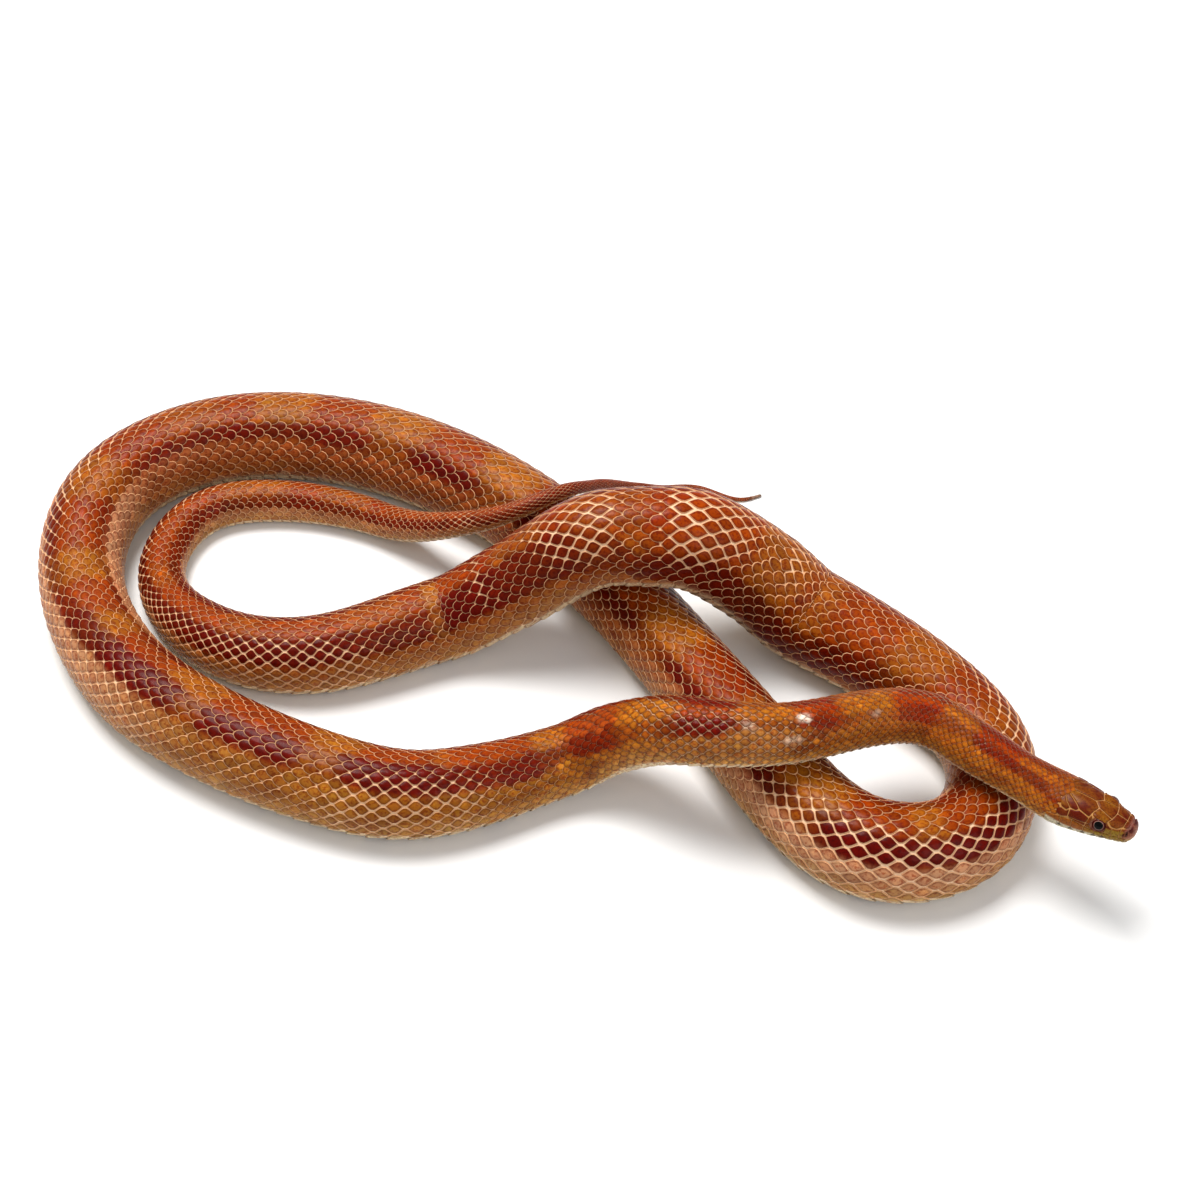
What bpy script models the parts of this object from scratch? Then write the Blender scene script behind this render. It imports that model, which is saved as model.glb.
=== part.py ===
"""A still, life-size corn snake lying in loose coils, its neck and head resting over one loop.

Lengths along the body are measured from the tip of the snout. The frame is in metres with +Z up,
the belly lies on z = 0, and the head points toward +X and -Y.
"""

import math

import bmesh
import bpy
import numpy as np
from mathutils import Vector

MM = 0.001
GAP = 0.3 * MM

# Route of the body as seen from above, chosen by hand: x, y and the belly's height, in millimetres.
ROUTE = [
    (141.7, -79.3, 23.5),   # tip of the snout
    (131.6, -72.3, 23.0),
    (123.2, -66.1, 22.3),
    (114.9, -59.6, 22.4),   # nape, over the right loop
    (105.6, -51.5, 22.1),
    (97.3, -45.0, 22.0),
    (88.0, -43.8, 21.9),
    (72.5, -48.0, 23.0),
    (54.2, -51.8, 24.0),    # neck over the trunk
    (38.0, -48.8, 21.0),
    (20.0, -42.0, 9.0),
    (5.0, -43.8, 1.0),
    (-10.0, -49.2, 0.0),    # trunk reaches the floor
    (-33.0, -54.2, 0.0),
    (-54.0, -49.5, 0.0),
    (-87.0, -33.7, 0.0),
    (-103.3, -22.0, 0.0),
    (-118.3, -3.5, 0.0),
    (-129.0, 24.5, 0.0),    # far left of the large loop
    (-124.0, 55.2, 0.0),
    (-101.0, 73.0, 0.0),
    (-67.0, 75.2, 0.0),
    (-30.5, 62.0, 0.0),
    (6.0, 32.8, 0.0),       # trunk under the arch
    (37.5, -10.5, 0.0),
    (60.5, -48.5, 0.0),     # trunk under the neck
    (82.5, -71.0, 0.0),
    (105.5, -67.5, 0.0),    # right loop
    (115.2, -42.5, 0.0),
    (100.3, -18.2, 0.0),
    (72.8, 2.2, 2.0),
    (58.6, 8.3, 11.6),
    (35.0, 10.5, 24.3),     # top of the arch
    (20.5, 10.9, 24.3),
    (-9.0, 7.2, 9.0),
    (-27.5, 3.6, 0.5),
    (-59.0, -7.4, 0.0),
    (-76.0, -6.5, 0.0),
    (-90.0, 0.0, 0.0),
    (-107.5, 26.5, 0.0),    # small loop, inside the large one
    (-97.5, 50.0, 0.0),
    (-83.0, 54.0, 0.0),
    (-47.5, 45.5, 2.0),
    (-17.5, 31.0, 17.5),
    (3.0, 36.0, 23.5),      # tail over the trunk
    (14.5, 46.8, 17.0),
    (27.0, 57.2, 6.5),
    (37.0, 62.2, 1.2),
    (44.5, 63.4, 0.3),
    (52.0, 60.4, 0.2),
    (57.5, 58.9, 0.1),
    (64.5, 61.2, 0.1),
    (70.0, 63.5, 0.1),      # past the tip of the tail
]

# Middle of the model's outline in the route's numbers, which becomes the origin, in millimetres.
OUTLINE_MIDDLE = (0.6, 2.5, 0.0)

# Half width of the body at lengths from the snout, in millimetres.
GIRTH = [
    (0, 5.9), (32, 5.9), (42, 6.5), (60, 6.9), (90, 7.5), (120, 8.6), (160, 9.4), (185, 10.8),
    (215, 11.8), (270, 12.3), (320, 11.6), (360, 12.6), (440, 13.0), (500, 12.5), (550, 11.6),
    (600, 12.2), (640, 12.5), (670, 11.6), (700, 11.6), (735, 12.7), (770, 13.6), (795, 13.6),
    (830, 12.6), (870, 11.5), (915, 10.3), (940, 8.9), (970, 6.6), (1010, 6.3), (1050, 5.2),
    (1080, 3.7), (1110, 2.2), (1145, 1.35), (1187, 0.5),
]

# A section is a round back on a flattened belly, like a loaf.
BELLY_DEPTH = 0.92        # of the half width, from the axis down to the free belly
AXIS_HEIGHT = 0.80        # of the half width, from the axis down to the floor it is pressed on
BELLY_POWER = 2.4         # how square the lower half is
BACK_ANGLES = [0, 25, 50, 75, 98, 116]
BELLY_ANGLES = [122, 148]
MIDLINE = 180

# Belly scutes, each lying over the next one behind it.
SCUTE_PITCH = 7.0 * MM
SCUTE_RAISE = 0.4 * MM
SCUTE_STEP = 0.6 * MM

# Lengths of the body, from the snout: name, start and end in millimetres.
NODES = [
    ("neck_1", 30, 86), ("neck_2", 86, 150),
    ("body_01", 150, 214), ("body_02", 214, 276), ("body_03", 276, 326), ("body_04", 326, 376),
    ("body_05", 376, 440), ("body_06", 440, 506), ("body_07", 506, 570), ("body_08", 570, 626),
    ("body_09", 626, 666), ("body_10", 666, 710), ("body_11", 710, 766), ("body_12", 766, 832),
    ("body_13", 832, 892), ("body_14", 892, 946),
    ("tail_1", 946, 986), ("tail_2", 986, 1030), ("tail_3", 1030, 1090), ("tail_tip", 1090, 1187),
]

# Head: length from the snout, half width, height over the axis, depth under it, in millimetres.
HEAD = [
    (0.0, 1.3, 0.4, 1.1), (0.5, 2.5, 1.4, 2.1), (1.6, 3.3, 2.4, 2.9), (3.5, 3.9, 3.1, 3.4),
    (6.5, 4.6, 3.8, 4.0), (9.5, 5.3, 4.4, 4.6), (13.0, 6.0, 4.7, 5.0), (17.0, 6.6, 4.8, 5.2),
    (20.5, 6.7, 4.9, 5.2), (24.0, 6.4, 5.1, 5.2), (30.0, 5.9, 5.6, 5.4),
]
HEAD_RINGS = [0.0, 0.5, 1.4, 2.6, 4.2, 6.2, 8.2, 10.2, 12.4, 14.8, 17.2, 19.6, 22.0, 24.6, 27.3, 30.0]
HEAD_SIDES = 28
THROAT_POWER = 2.3        # how square the head is below
CROWN_POWER = 2.5         # how flat the crown is at the snout, easing to round at the nape

EYE_RADIUS = 1.9 * MM
EYE_AT = 8.0 * MM
EYE_UP = 1.7 * MM
EYE_STANDS_OUT = 0.6 * MM
EYE_SIDES = 16
EYE_ROWS = 10
NOSTRIL_RADIUS = 0.5 * MM
NOSTRIL_AT = 1.4 * MM
NOSTRIL_UP = 1.2 * MM
NOSTRIL_SIDES = 8
NOSTRIL_ROWS = 6

# Line of the mouth: length from the snout and height from the axis, in millimetres.
MOUTH_GAP = 0.35 * MM
MOUTH = [(-2.0, -1.3), (3.0, -1.5), (8.0, -2.3), (13.0, -2.5), (18.0, -1.9), (20.5, -1.5)]
# The block that parts the jaws reaches past the head, and its rear face leans forward below.
JAW_BLOCK_REACH = 12 * MM
JAW_BLOCK_DEPTH = 9 * MM
JAW_BLOCK_LEAN = 4 * MM
JAW_BLOCK_LEANS_FROM = 15 * MM

# Crown plates of the right side: corners as length from the snout and distance from the midline.
PLATE_RAISE = 0.22 * MM
PLATE_SINK = 0.7 * MM
PLATE_INSET = 0.88        # of the plate's own size, from its sunk edge to its top edge
PLATE_LEAN = 60           # degrees that a plate's thickness leans over at the side of the crown
EDGE_SHARE = 0.97         # of the half width or depth, the farthest that a plate is carried
PAIRED_PLATES = {
    "internasal": [(1.3, 0.2), (2.5, 0.2), (2.7, 2.1), (2.0, 1.9), (1.4, 1.2)],
    "prefrontal": [(2.8, 0.2), (5.2, 0.2), (5.5, 2.0), (6.1, 2.9), (5.2, 3.5), (4.0, 3.2), (3.0, 2.3)],
    "supraocular": [(5.9, 2.3), (9.3, 1.6), (10.0, 3.1), (8.6, 3.3), (6.5, 3.1)],
    "parietal": [(10.8, 0.2), (9.6, 1.5), (10.2, 3.2), (10.5, 4.2), (11.7, 4.2), (13.1, 3.9),
                 (14.0, 3.2), (15.7, 2.1), (16.8, 1.2), (16.3, 0.2)],
}
FRONTAL = [(5.4, 0.0), (5.45, 1.0), (5.8, 2.0), (9.2, 1.3), (10.6, 0.0), (9.2, -1.3), (5.8, -2.0),
           (5.45, -1.0)]
# Rows of lip plates: number, first and last length from the snout, distances from the mouth line.
UPPER_LIP = (8, 1.6, 20.2, 0.0, 1.9)
LOWER_LIP = (9, 1.6, 19.6, -1.6, 0.0)
LIP_RAISE = 0.2 * MM
LIP_SEAM = 0.12           # half the space between two lip plates, in millimetres
LIP_LEAN = 0.25           # of its own length, how far the top of a lip plate lies back

SPINE_STEPS = 6000
FRAME_REACH = 1.5 * MM    # to either side of a section, where its direction is read
SCUTE_FULL_WIDTH = 5 * MM  # half width under which the belly's steps grow shallower
SHARP_ANGLE = 40
WELD = 0.01 * MM

# Colour and roughness of each material.
BACK_RUST = ((0.5, 0.17, 0.05), 0.42)
CROWN_BROWN = ((0.42, 0.16, 0.05), 0.45)
JAW_CREAM = ((0.66, 0.5, 0.26), 0.45)
EYE_DARK = ((0.05, 0.015, 0.01), 0.1)


def clear_scene():
    """Remove every object of the scene."""
    for item in list(bpy.data.objects):
        bpy.data.objects.remove(item, do_unlink=True)


def new_collection(name):
    """Add a collection to the scene."""
    group = bpy.data.collections.new(name)
    bpy.context.scene.collection.children.link(group)
    return group


def through(knots, values, at):
    """Natural cubic spline through the values, read at the places asked for."""
    count = len(knots)
    step = np.diff(knots)
    system = np.eye(count)
    load = np.zeros(values.shape)
    slope = np.diff(values, axis=0) / step[:, None]
    for i in range(1, count - 1):
        system[i, i - 1:i + 2] = step[i - 1], 2 * (step[i - 1] + step[i]), step[i]
        load[i] = 6 * (slope[i] - slope[i - 1])
    bend = np.linalg.solve(system, load)
    i = np.clip(np.searchsorted(knots, at, side="right") - 1, 0, count - 2)
    past, left, width = (at - knots[i])[:, None], (knots[i + 1] - at)[:, None], step[i][:, None]
    cubic = (bend[i] * left**3 + bend[i + 1] * past**3) / (6 * width)
    start = values[i] / width - bend[i] * width / 6
    end = values[i + 1] / width - bend[i + 1] * width / 6
    return cubic + start * left + end * past


def eased(knots, values, at):
    """Smooth curve through the values that never rises above or falls below its two stations."""
    step = np.diff(knots)
    slope = np.diff(values) / step
    turn = np.zeros(len(knots))
    same_way = slope[:-1] * slope[1:] > 0
    inner = 2 * slope[:-1] * slope[1:] / np.where(same_way, slope[:-1] + slope[1:], 1.0)
    turn[1:-1] = np.where(same_way, inner, 0.0)
    turn[0], turn[-1] = slope[0], slope[-1]
    i = np.clip(np.searchsorted(knots, at, side="right") - 1, 0, len(knots) - 2)
    t = np.clip((at - knots[i]) / step[i], 0.0, 1.0)
    rise = 3 * t**2 - 2 * t**3
    return (values[i] * (1 - rise) + values[i + 1] * rise
            + step[i] * (turn[i] * t * (1 - t)**2 - turn[i + 1] * t**2 * (1 - t)))


class Spine:
    """The axis of the body: its places, directions and half widths by length from the snout."""

    def __init__(self, route, girth):
        route = (np.array(route) - OUTLINE_MIDDLE) * MM
        self.girth = np.array(girth) * MM
        chord = np.r_[0.0, np.cumsum(np.linalg.norm(np.diff(route, axis=0), axis=1))]
        dense = np.linspace(0.0, chord[-1], SPINE_STEPS)
        plan = through(chord, route[:, :2], dense)
        lift = eased(chord, route[:, 2], dense)
        line = np.column_stack([plan, lift])
        self.length = np.r_[0.0, np.cumsum(np.linalg.norm(np.diff(line, axis=0), axis=1))]
        line[:, 2] += AXIS_HEIGHT * self.half_width(self.length)
        self.line = line

    def half_width(self, at):
        """Half width of the body."""
        return eased(self.girth[:, 0], self.girth[:, 1], np.asarray(at, float))

    def centre(self, at):
        """Point of the axis."""
        return np.stack([np.interp(at, self.length, self.line[:, k]) for k in range(3)], axis=-1)

    def frame(self, at, shift=0.0):
        """Centre, the animal's right and its up at a length from the snout, straight past its ends.

        The centre is moved along the axis by the shift, and the directions stay.
        """
        inside = min(max(at, 0.0), self.length[-1])
        back = self.centre(inside + FRAME_REACH) - self.centre(inside - FRAME_REACH)
        back /= np.linalg.norm(back)
        right = np.cross([0.0, 0.0, 1.0], back)
        right /= np.linalg.norm(right)
        return self.centre(inside) + back * (at - inside + shift), right, np.cross(back, right)

    def place(self, at, across, up, shift=0.0):
        """World point from length along, distance to the animal's right and height over the axis."""
        centre, right, upward = self.frame(at, shift)
        return centre + right * across + upward * up


SPINE = Spine(ROUTE, GIRTH)


def superellipse(angle, width, top, depth, crown, belly):
    """Point of a section at an angle from its top: a round or flattened back on a squarer belly."""
    side, rise = math.sin(angle), math.cos(angle)
    power = 2 / (crown if rise > 0 else belly)
    height = top if rise > 0 else depth
    return (math.copysign(abs(side)**power, side) * width,
            math.copysign(abs(rise)**power, rise) * height)


def loft(name, rings):
    """Closed mesh through rings of equal count, with a flat face on each end."""
    mesh = bmesh.new()
    rows = [[mesh.verts.new(point) for point in ring] for ring in rings]
    count = len(rows[0])
    for front, rear in zip(rows, rows[1:]):
        for i in range(count):
            j = (i + 1) % count
            mesh.faces.new((front[i], front[j], rear[j], rear[i]))
    mesh.faces.new(list(reversed(rows[0])))
    mesh.faces.new(rows[-1])
    bmesh.ops.recalc_face_normals(mesh, faces=mesh.faces)
    data = bpy.data.meshes.new(name)
    mesh.to_mesh(data)
    mesh.free()
    data.shade_smooth()
    data.set_sharp_from_angle(angle=math.radians(SHARP_ANGLE))
    return bpy.data.objects.new(name, data)


def paint(item, look):
    """Give an object its own material, of the colour and roughness given."""
    colour, roughness = look
    skin = bpy.data.materials.new(item.name)
    skin.use_nodes = True
    shader = skin.node_tree.nodes["Principled BSDF"]
    shader.inputs["Base Color"].default_value = (*colour, 1.0)
    shader.inputs["Roughness"].default_value = roughness
    shader.inputs["Metallic"].default_value = 0.0
    item.data.materials.clear()
    item.data.materials.append(skin)


def body_ring(at, raised, shift=0.0):
    """One section of the body, moved along it by a shift, its belly scute standing out as given."""
    width = float(SPINE.half_width(at))
    side = BACK_ANGLES[1:] + BELLY_ANGLES
    angles = [0] + side + [MIDLINE] + [-angle for angle in reversed(side)]
    centre, right, upward = SPINE.frame(at, shift)
    ring = []
    for angle in angles:
        radius = width + (raised if abs(angle) > BACK_ANGLES[-1] else 0.0)
        turn = math.radians(angle)
        across, up = superellipse(turn, radius, radius, radius * BELLY_DEPTH, 2, BELLY_POWER)
        x, y, z = centre + right * across + upward * up
        ring.append((x, y, max(z, 0.0)))
    return ring


def body_length(name, start, end):
    """One length of the body, its belly scutes stepping up toward their rear edges."""
    start, end = start * MM, end * MM
    scutes = max(2, round((end - start) / SCUTE_PITCH))
    edges = np.linspace(start, end, scutes + 1)
    raised = SCUTE_RAISE * min(1.0, float(SPINE.half_width(end)) / SCUTE_FULL_WIDTH)
    rings = [body_ring(start, 0.0, GAP / 2)]
    for edge in edges[1:-1]:
        rings.append(body_ring(edge - SCUTE_STEP, raised))
        rings.append(body_ring(edge, 0.0))
    rings.append(body_ring(end, raised, -GAP / 2))
    return loft(name, rings)


def head_size(at):
    """Half width, height, depth and crown power of the head at a length from the snout."""
    table = np.array(HEAD) * MM
    width, top, depth = (float(eased(table[:, 0], table[:, k], np.asarray(at))) for k in (1, 2, 3))
    flat = CROWN_POWER + (2.0 - CROWN_POWER) * min(1.0, at / (HEAD[-1][0] * MM))
    return width, top, depth, flat


def head_blank():
    """The whole head with both jaws, as one closed form."""
    rings = []
    for length in HEAD_RINGS:
        at = length * MM
        width, top, depth, crown = head_size(at)
        shift = -GAP / 2 if length == HEAD_RINGS[-1] else 0.0
        centre, right, upward = SPINE.frame(at, shift)
        turns = [2 * math.pi * i / HEAD_SIDES for i in range(HEAD_SIDES)]
        section = [superellipse(turn, width, top, depth, crown, THROAT_POWER) for turn in turns]
        rings.append([centre + right * across + upward * up for across, up in section])
    return loft("head", rings)


def crown_point(at, across, out):
    """Point over the crown, a distance out from the surface."""
    width, top, _, power = head_size(at)
    share = min(EDGE_SHARE, abs(across) / width)
    up = top * (1 - share**power)**(1 / power)
    lean = math.radians(PLATE_LEAN) * share
    return SPINE.place(at, across + math.copysign(math.sin(lean) * out, across), up + math.cos(lean) * out)


def lip_point(at, side, from_mouth, out):
    """Point over the side of the head, a height from the line of the mouth."""
    mouth = np.array(MOUTH) * MM
    up = float(eased(mouth[:, 0], mouth[:, 1], np.asarray(at))) + from_mouth
    width, _, depth, _ = head_size(at)
    share = min(EDGE_SHARE, abs(min(up, 0.0)) / depth)
    across = width * (1 - share**THROAT_POWER)**(1 / THROAT_POWER)
    return SPINE.place(at, side * (across + out), up - share * out)


def raised_plate(name, corners, surface, raise_by):
    """Thin closed plate sunk in a surface: a sunk edge, an edge a little inside it, and a centre."""
    corners = np.array(corners)
    middle = corners.mean(axis=0)
    inset = middle + (corners - middle) * PLATE_INSET
    mesh = bmesh.new()
    sunk = [mesh.verts.new(surface(*corner, -PLATE_SINK)) for corner in corners]
    edge = [mesh.verts.new(surface(*corner, raise_by)) for corner in inset]
    top = mesh.verts.new(surface(*middle, raise_by))
    base = mesh.verts.new(surface(*middle, -PLATE_SINK))
    for i, point in enumerate(sunk):
        j = (i + 1) % len(sunk)
        mesh.faces.new((point, sunk[j], edge[j], edge[i]))
        mesh.faces.new((edge[i], edge[j], top))
        mesh.faces.new((sunk[j], point, base))
    bmesh.ops.recalc_face_normals(mesh, faces=mesh.faces)
    bmesh.ops.triangulate(mesh, faces=mesh.faces)
    data = bpy.data.meshes.new(name)
    mesh.to_mesh(data)
    mesh.free()
    return bpy.data.objects.new(name, data)


def crown_plates():
    """The large plates on top of the head: one frontal and four pairs."""
    plates = [raised_plate("frontal", np.array(FRONTAL) * MM, crown_point, PLATE_RAISE)]
    for name, corners in PAIRED_PLATES.items():
        for side in (1, -1):
            shape = np.array(corners) * MM * (1, side)
            plates.append(raised_plate(name, shape, crown_point, PLATE_RAISE))
    return plates


def lip_plates(row):
    """One row of lip plates on each side of the mouth."""
    count, first, last, low, high = row
    pitch = (last - first) / count
    plates = []
    for side in (1, -1):
        for i in range(count):
            front, rear = first + pitch * i + LIP_SEAM, first + pitch * (i + 1) - LIP_SEAM
            lean = LIP_LEAN * pitch
            corners = [(front, low), (rear, low), (rear + lean, high), (front + lean, high)]

            def surface(at, up, out, side=side):
                return lip_point(at, side, up, out)

            plates.append(raised_plate("lip", np.array(corners) * MM, surface, LIP_RAISE))
    return plates


def jaw_block(drop):
    """Block under the line of the mouth that bounds the lower jaw, lowered by the gap given."""
    line = [(at * MM, up * MM - drop) for at, up in MOUTH]
    slope = JAW_BLOCK_LEAN / (JAW_BLOCK_DEPTH + MOUTH[-1][1] * MM)
    line[-1] = (line[-1][0] - drop * (math.hypot(1, slope) + slope), line[-1][1])
    rings = []
    for at, up in line:
        lean = -JAW_BLOCK_LEAN if at > JAW_BLOCK_LEANS_FROM else 0.0
        sides = (-JAW_BLOCK_REACH, JAW_BLOCK_REACH)
        upper = [SPINE.place(at, across, up) for across in sides]
        lower = [SPINE.place(at, across, -JAW_BLOCK_DEPTH, lean) for across in reversed(sides)]
        rings.append(upper + lower)
    return loft("jaw_block", rings)


def ball(name, place, radius, sides, rows):
    """Round form at a place of the head (length, across, up), its poles to the sides."""
    data = bpy.data.meshes.new(name)
    mesh = bmesh.new()
    bmesh.ops.create_uvsphere(mesh, u_segments=sides, v_segments=rows, radius=radius)
    _, right, _ = SPINE.frame(place[0])
    turn = Vector((0, 0, 1)).rotation_difference(Vector(right)).to_matrix()
    bmesh.ops.rotate(mesh, verts=mesh.verts, matrix=turn)
    bmesh.ops.translate(mesh, verts=mesh.verts, vec=SPINE.place(*place))
    mesh.to_mesh(data)
    mesh.free()
    data.shade_smooth()
    return bpy.data.objects.new(name, data)


def eye_across():
    """Distance of an eye's centre from the midline of the head."""
    width, top, _, power = head_size(EYE_AT)
    return width * (1 - (EYE_UP / top)**power)**(1 / power) + EYE_STANDS_OUT - EYE_RADIUS


def combine(item, others, operation):
    """Boolean of an object with a list of closed forms, applied, the forms removed.

    The exact solver leaves nothing of the lower jaw, so the intersection is made by the manifold one.
    """
    group = new_collection("cutters")
    for other in others:
        other.hide_render = True
        other.display_type = "WIRE"
        group.objects.link(other)
    join = item.modifiers.new("combine", "BOOLEAN")
    join.operation = operation
    if operation == "INTERSECT":
        join.solver = "MANIFOLD"
        join.object = others[0]
    else:
        join.solver = "EXACT"
        join.operand_type = "COLLECTION"
        join.collection = group
    apply_modifiers(item)
    for other in others:
        bpy.data.objects.remove(other, do_unlink=True)
    bpy.data.collections.remove(group)


def apply_modifiers(item):
    """Replace an object's mesh by its evaluated one."""
    bpy.context.view_layer.update()
    shape = item.evaluated_get(bpy.context.evaluated_depsgraph_get())
    data = bpy.data.meshes.new_from_object(shape)
    item.modifiers.clear()
    item.data = data


def keep_largest(item):
    """Keep the largest closed surface of an object."""
    mesh = bmesh.new()
    mesh.from_mesh(item.data)
    bmesh.ops.remove_doubles(mesh, verts=mesh.verts, dist=WELD)
    bmesh.ops.triangulate(mesh, faces=mesh.faces)
    left, surfaces = set(mesh.verts), []
    while left:
        stack, found = [left.pop()], set()
        while stack:
            vert = stack.pop()
            found.add(vert)
            for edge in vert.link_edges:
                other = edge.other_vert(vert)
                if other in left:
                    left.discard(other)
                    stack.append(other)
        surfaces.append(found)
    surfaces.sort(key=len)
    loose = [vert for found in surfaces[:-1] for vert in found]
    bmesh.ops.delete(mesh, geom=loose, context="VERTS")
    mesh.to_mesh(item.data)
    mesh.free()


def build_head(parts):
    """Upper head and lower jaw parted at the line of the mouth, with plates, eyes and nostrils."""
    head = head_blank()
    parts.objects.link(head)
    combine(head, crown_plates() + lip_plates(UPPER_LIP) + lip_plates(LOWER_LIP), "UNION")
    jaw = head.copy()
    jaw.data = head.data.copy()
    jaw.name = "lower_jaw"
    parts.objects.link(jaw)
    combine(jaw, [jaw_block(MOUTH_GAP)], "INTERSECT")
    cutters = [jaw_block(0.0)]
    nostril_width = head_size(NOSTRIL_AT)[0]
    for name, side in (("eye_right", 1), ("eye_left", -1)):
        eye_place = (EYE_AT, side * eye_across(), EYE_UP)
        eye = ball(name, eye_place, EYE_RADIUS, EYE_SIDES, EYE_ROWS)
        parts.objects.link(eye)
        paint(eye, EYE_DARK)
        cutters.append(ball("socket", eye_place, EYE_RADIUS + GAP, EYE_SIDES, EYE_ROWS))
        nostril_place = (NOSTRIL_AT, side * nostril_width, NOSTRIL_UP)
        cutters.append(ball("nostril", nostril_place, NOSTRIL_RADIUS, NOSTRIL_SIDES, NOSTRIL_ROWS))
    combine(head, cutters, "DIFFERENCE")
    for item, look in ((head, CROWN_BROWN), (jaw, JAW_CREAM)):
        keep_largest(item)
        paint(item, look)


def build_body(parts):
    """The lengths of the neck, trunk and tail, one behind the other."""
    for name, start, end in NODES:
        item = body_length(name, start, end)
        parts.objects.link(item)
        paint(item, BACK_RUST)


def main():
    clear_scene()
    parts = new_collection("corn_snake")
    build_head(parts)
    build_body(parts)


main()
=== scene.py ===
"""A life-size corn snake resting in loose coils: one skin, its scales and scutes, head plates and eyes."""
import math

import bpy
import numpy as np
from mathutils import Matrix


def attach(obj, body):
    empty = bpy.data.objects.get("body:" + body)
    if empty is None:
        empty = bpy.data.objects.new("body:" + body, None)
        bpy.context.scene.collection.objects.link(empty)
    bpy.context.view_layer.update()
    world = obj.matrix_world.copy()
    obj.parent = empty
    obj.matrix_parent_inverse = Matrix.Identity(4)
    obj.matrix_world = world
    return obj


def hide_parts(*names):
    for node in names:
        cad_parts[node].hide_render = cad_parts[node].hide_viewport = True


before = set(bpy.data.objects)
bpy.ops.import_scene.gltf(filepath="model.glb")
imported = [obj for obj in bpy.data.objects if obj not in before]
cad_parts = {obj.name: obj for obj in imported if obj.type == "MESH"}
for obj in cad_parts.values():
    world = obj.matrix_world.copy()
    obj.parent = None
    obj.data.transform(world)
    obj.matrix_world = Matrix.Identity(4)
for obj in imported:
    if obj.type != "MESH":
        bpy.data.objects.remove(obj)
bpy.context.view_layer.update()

MM = 0.001


# The line of the body is a living spine laid in loose coils: a route given through the
# pose, with the girth that the trunk has at each length from the snout. Skin, scales and scutes
# are all placed by length along it and angle round it, so they follow the solids exactly.

# Places on the floor plan and the belly's height above the floor, from snout to tail, in millimetres.
ROUTE = [
    (141.7, -79.3, 23.5), (131.6, -72.3, 23.0), (123.2, -66.1, 22.3), (114.9, -59.6, 22.4),
    (105.6, -51.5, 22.1), (97.3, -45.0, 22.0), (88.0, -43.8, 21.9), (72.5, -48.0, 23.0),
    (54.2, -51.8, 24.0), (38.0, -48.8, 21.0), (20.0, -42.0, 9.0), (5.0, -43.8, 1.0),
    (-10.0, -49.2, 0.0), (-33.0, -54.2, 0.0), (-54.0, -49.5, 0.0), (-87.0, -33.7, 0.0),
    (-103.3, -22.0, 0.0), (-118.3, -3.5, 0.0), (-129.0, 24.5, 0.0), (-124.0, 55.2, 0.0),
    (-101.0, 73.0, 0.0), (-67.0, 75.2, 0.0), (-30.5, 62.0, 0.0), (6.0, 32.8, 0.0),
    (37.5, -10.5, 0.0), (60.5, -48.5, 0.0), (82.5, -71.0, 0.0), (105.5, -67.5, 0.0),
    (115.2, -42.5, 0.0), (100.3, -18.2, 0.0), (72.8, 2.2, 2.0), (58.6, 8.3, 11.6),
    (35.0, 10.5, 24.3), (20.5, 10.9, 24.3), (-9.0, 7.2, 9.0), (-27.5, 3.6, 0.5),
    (-59.0, -7.4, 0.0), (-76.0, -6.5, 0.0), (-90.0, 0.0, 0.0), (-107.5, 26.5, 0.0),
    (-97.5, 50.0, 0.0), (-83.0, 54.0, 0.0), (-47.5, 45.5, 2.0), (-17.5, 31.0, 17.5),
    (3.0, 36.0, 23.5), (14.5, 46.8, 17.0), (27.0, 57.2, 6.5), (37.0, 62.2, 1.2),
    (44.5, 63.4, 0.3), (52.0, 60.4, 0.2), (57.5, 58.9, 0.1), (64.5, 61.2, 0.1), (70.0, 63.5, 0.1),
]
OUTLINE_MIDDLE = (0.6, 2.5, 0.0)

# Half width of the body at lengths from the snout, in millimetres.
GIRTH = [
    (0, 5.9), (32, 5.9), (42, 6.5), (60, 6.9), (90, 7.5), (120, 8.6), (160, 9.4), (185, 10.8),
    (215, 11.8), (270, 12.3), (320, 11.6), (360, 12.6), (440, 13.0), (500, 12.5), (550, 11.6),
    (600, 12.2), (640, 12.5), (670, 11.6), (700, 11.6), (735, 12.7), (770, 13.6), (795, 13.6),
    (830, 12.6), (870, 11.5), (915, 10.3), (940, 8.9), (970, 6.6), (1010, 6.3), (1050, 5.2),
    (1080, 3.7), (1110, 2.2), (1145, 1.35), (1187, 0.5),
]
TAIL_END = 1187
BELLY_DEPTH = 0.92
AXIS_HEIGHT = 0.80
SPINE_SAMPLES = 6000

# Head: length from the snout, half width, height over the axis, depth under it, in millimetres.
HEAD = [
    (0.0, 1.3, 0.4, 1.1), (0.5, 2.5, 1.4, 2.1), (1.6, 3.3, 2.4, 2.9), (3.5, 3.9, 3.1, 3.4),
    (6.5, 4.6, 3.8, 4.0), (9.5, 5.3, 4.4, 4.6), (13.0, 6.0, 4.7, 5.0), (17.0, 6.6, 4.8, 5.2),
    (20.5, 6.7, 4.9, 5.2), (24.0, 6.4, 5.1, 5.2), (30.0, 5.95, 5.6, 5.4),
]
HEAD_END, HEAD_EASING = 30.0, 6.0
# Rounding of a section as a power, at the snout and on the body: 2 is an ellipse, more is squarer.
BACK_POWERS, BELLY_POWERS = (2.5, 2.0), (2.3, 2.4)


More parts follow.
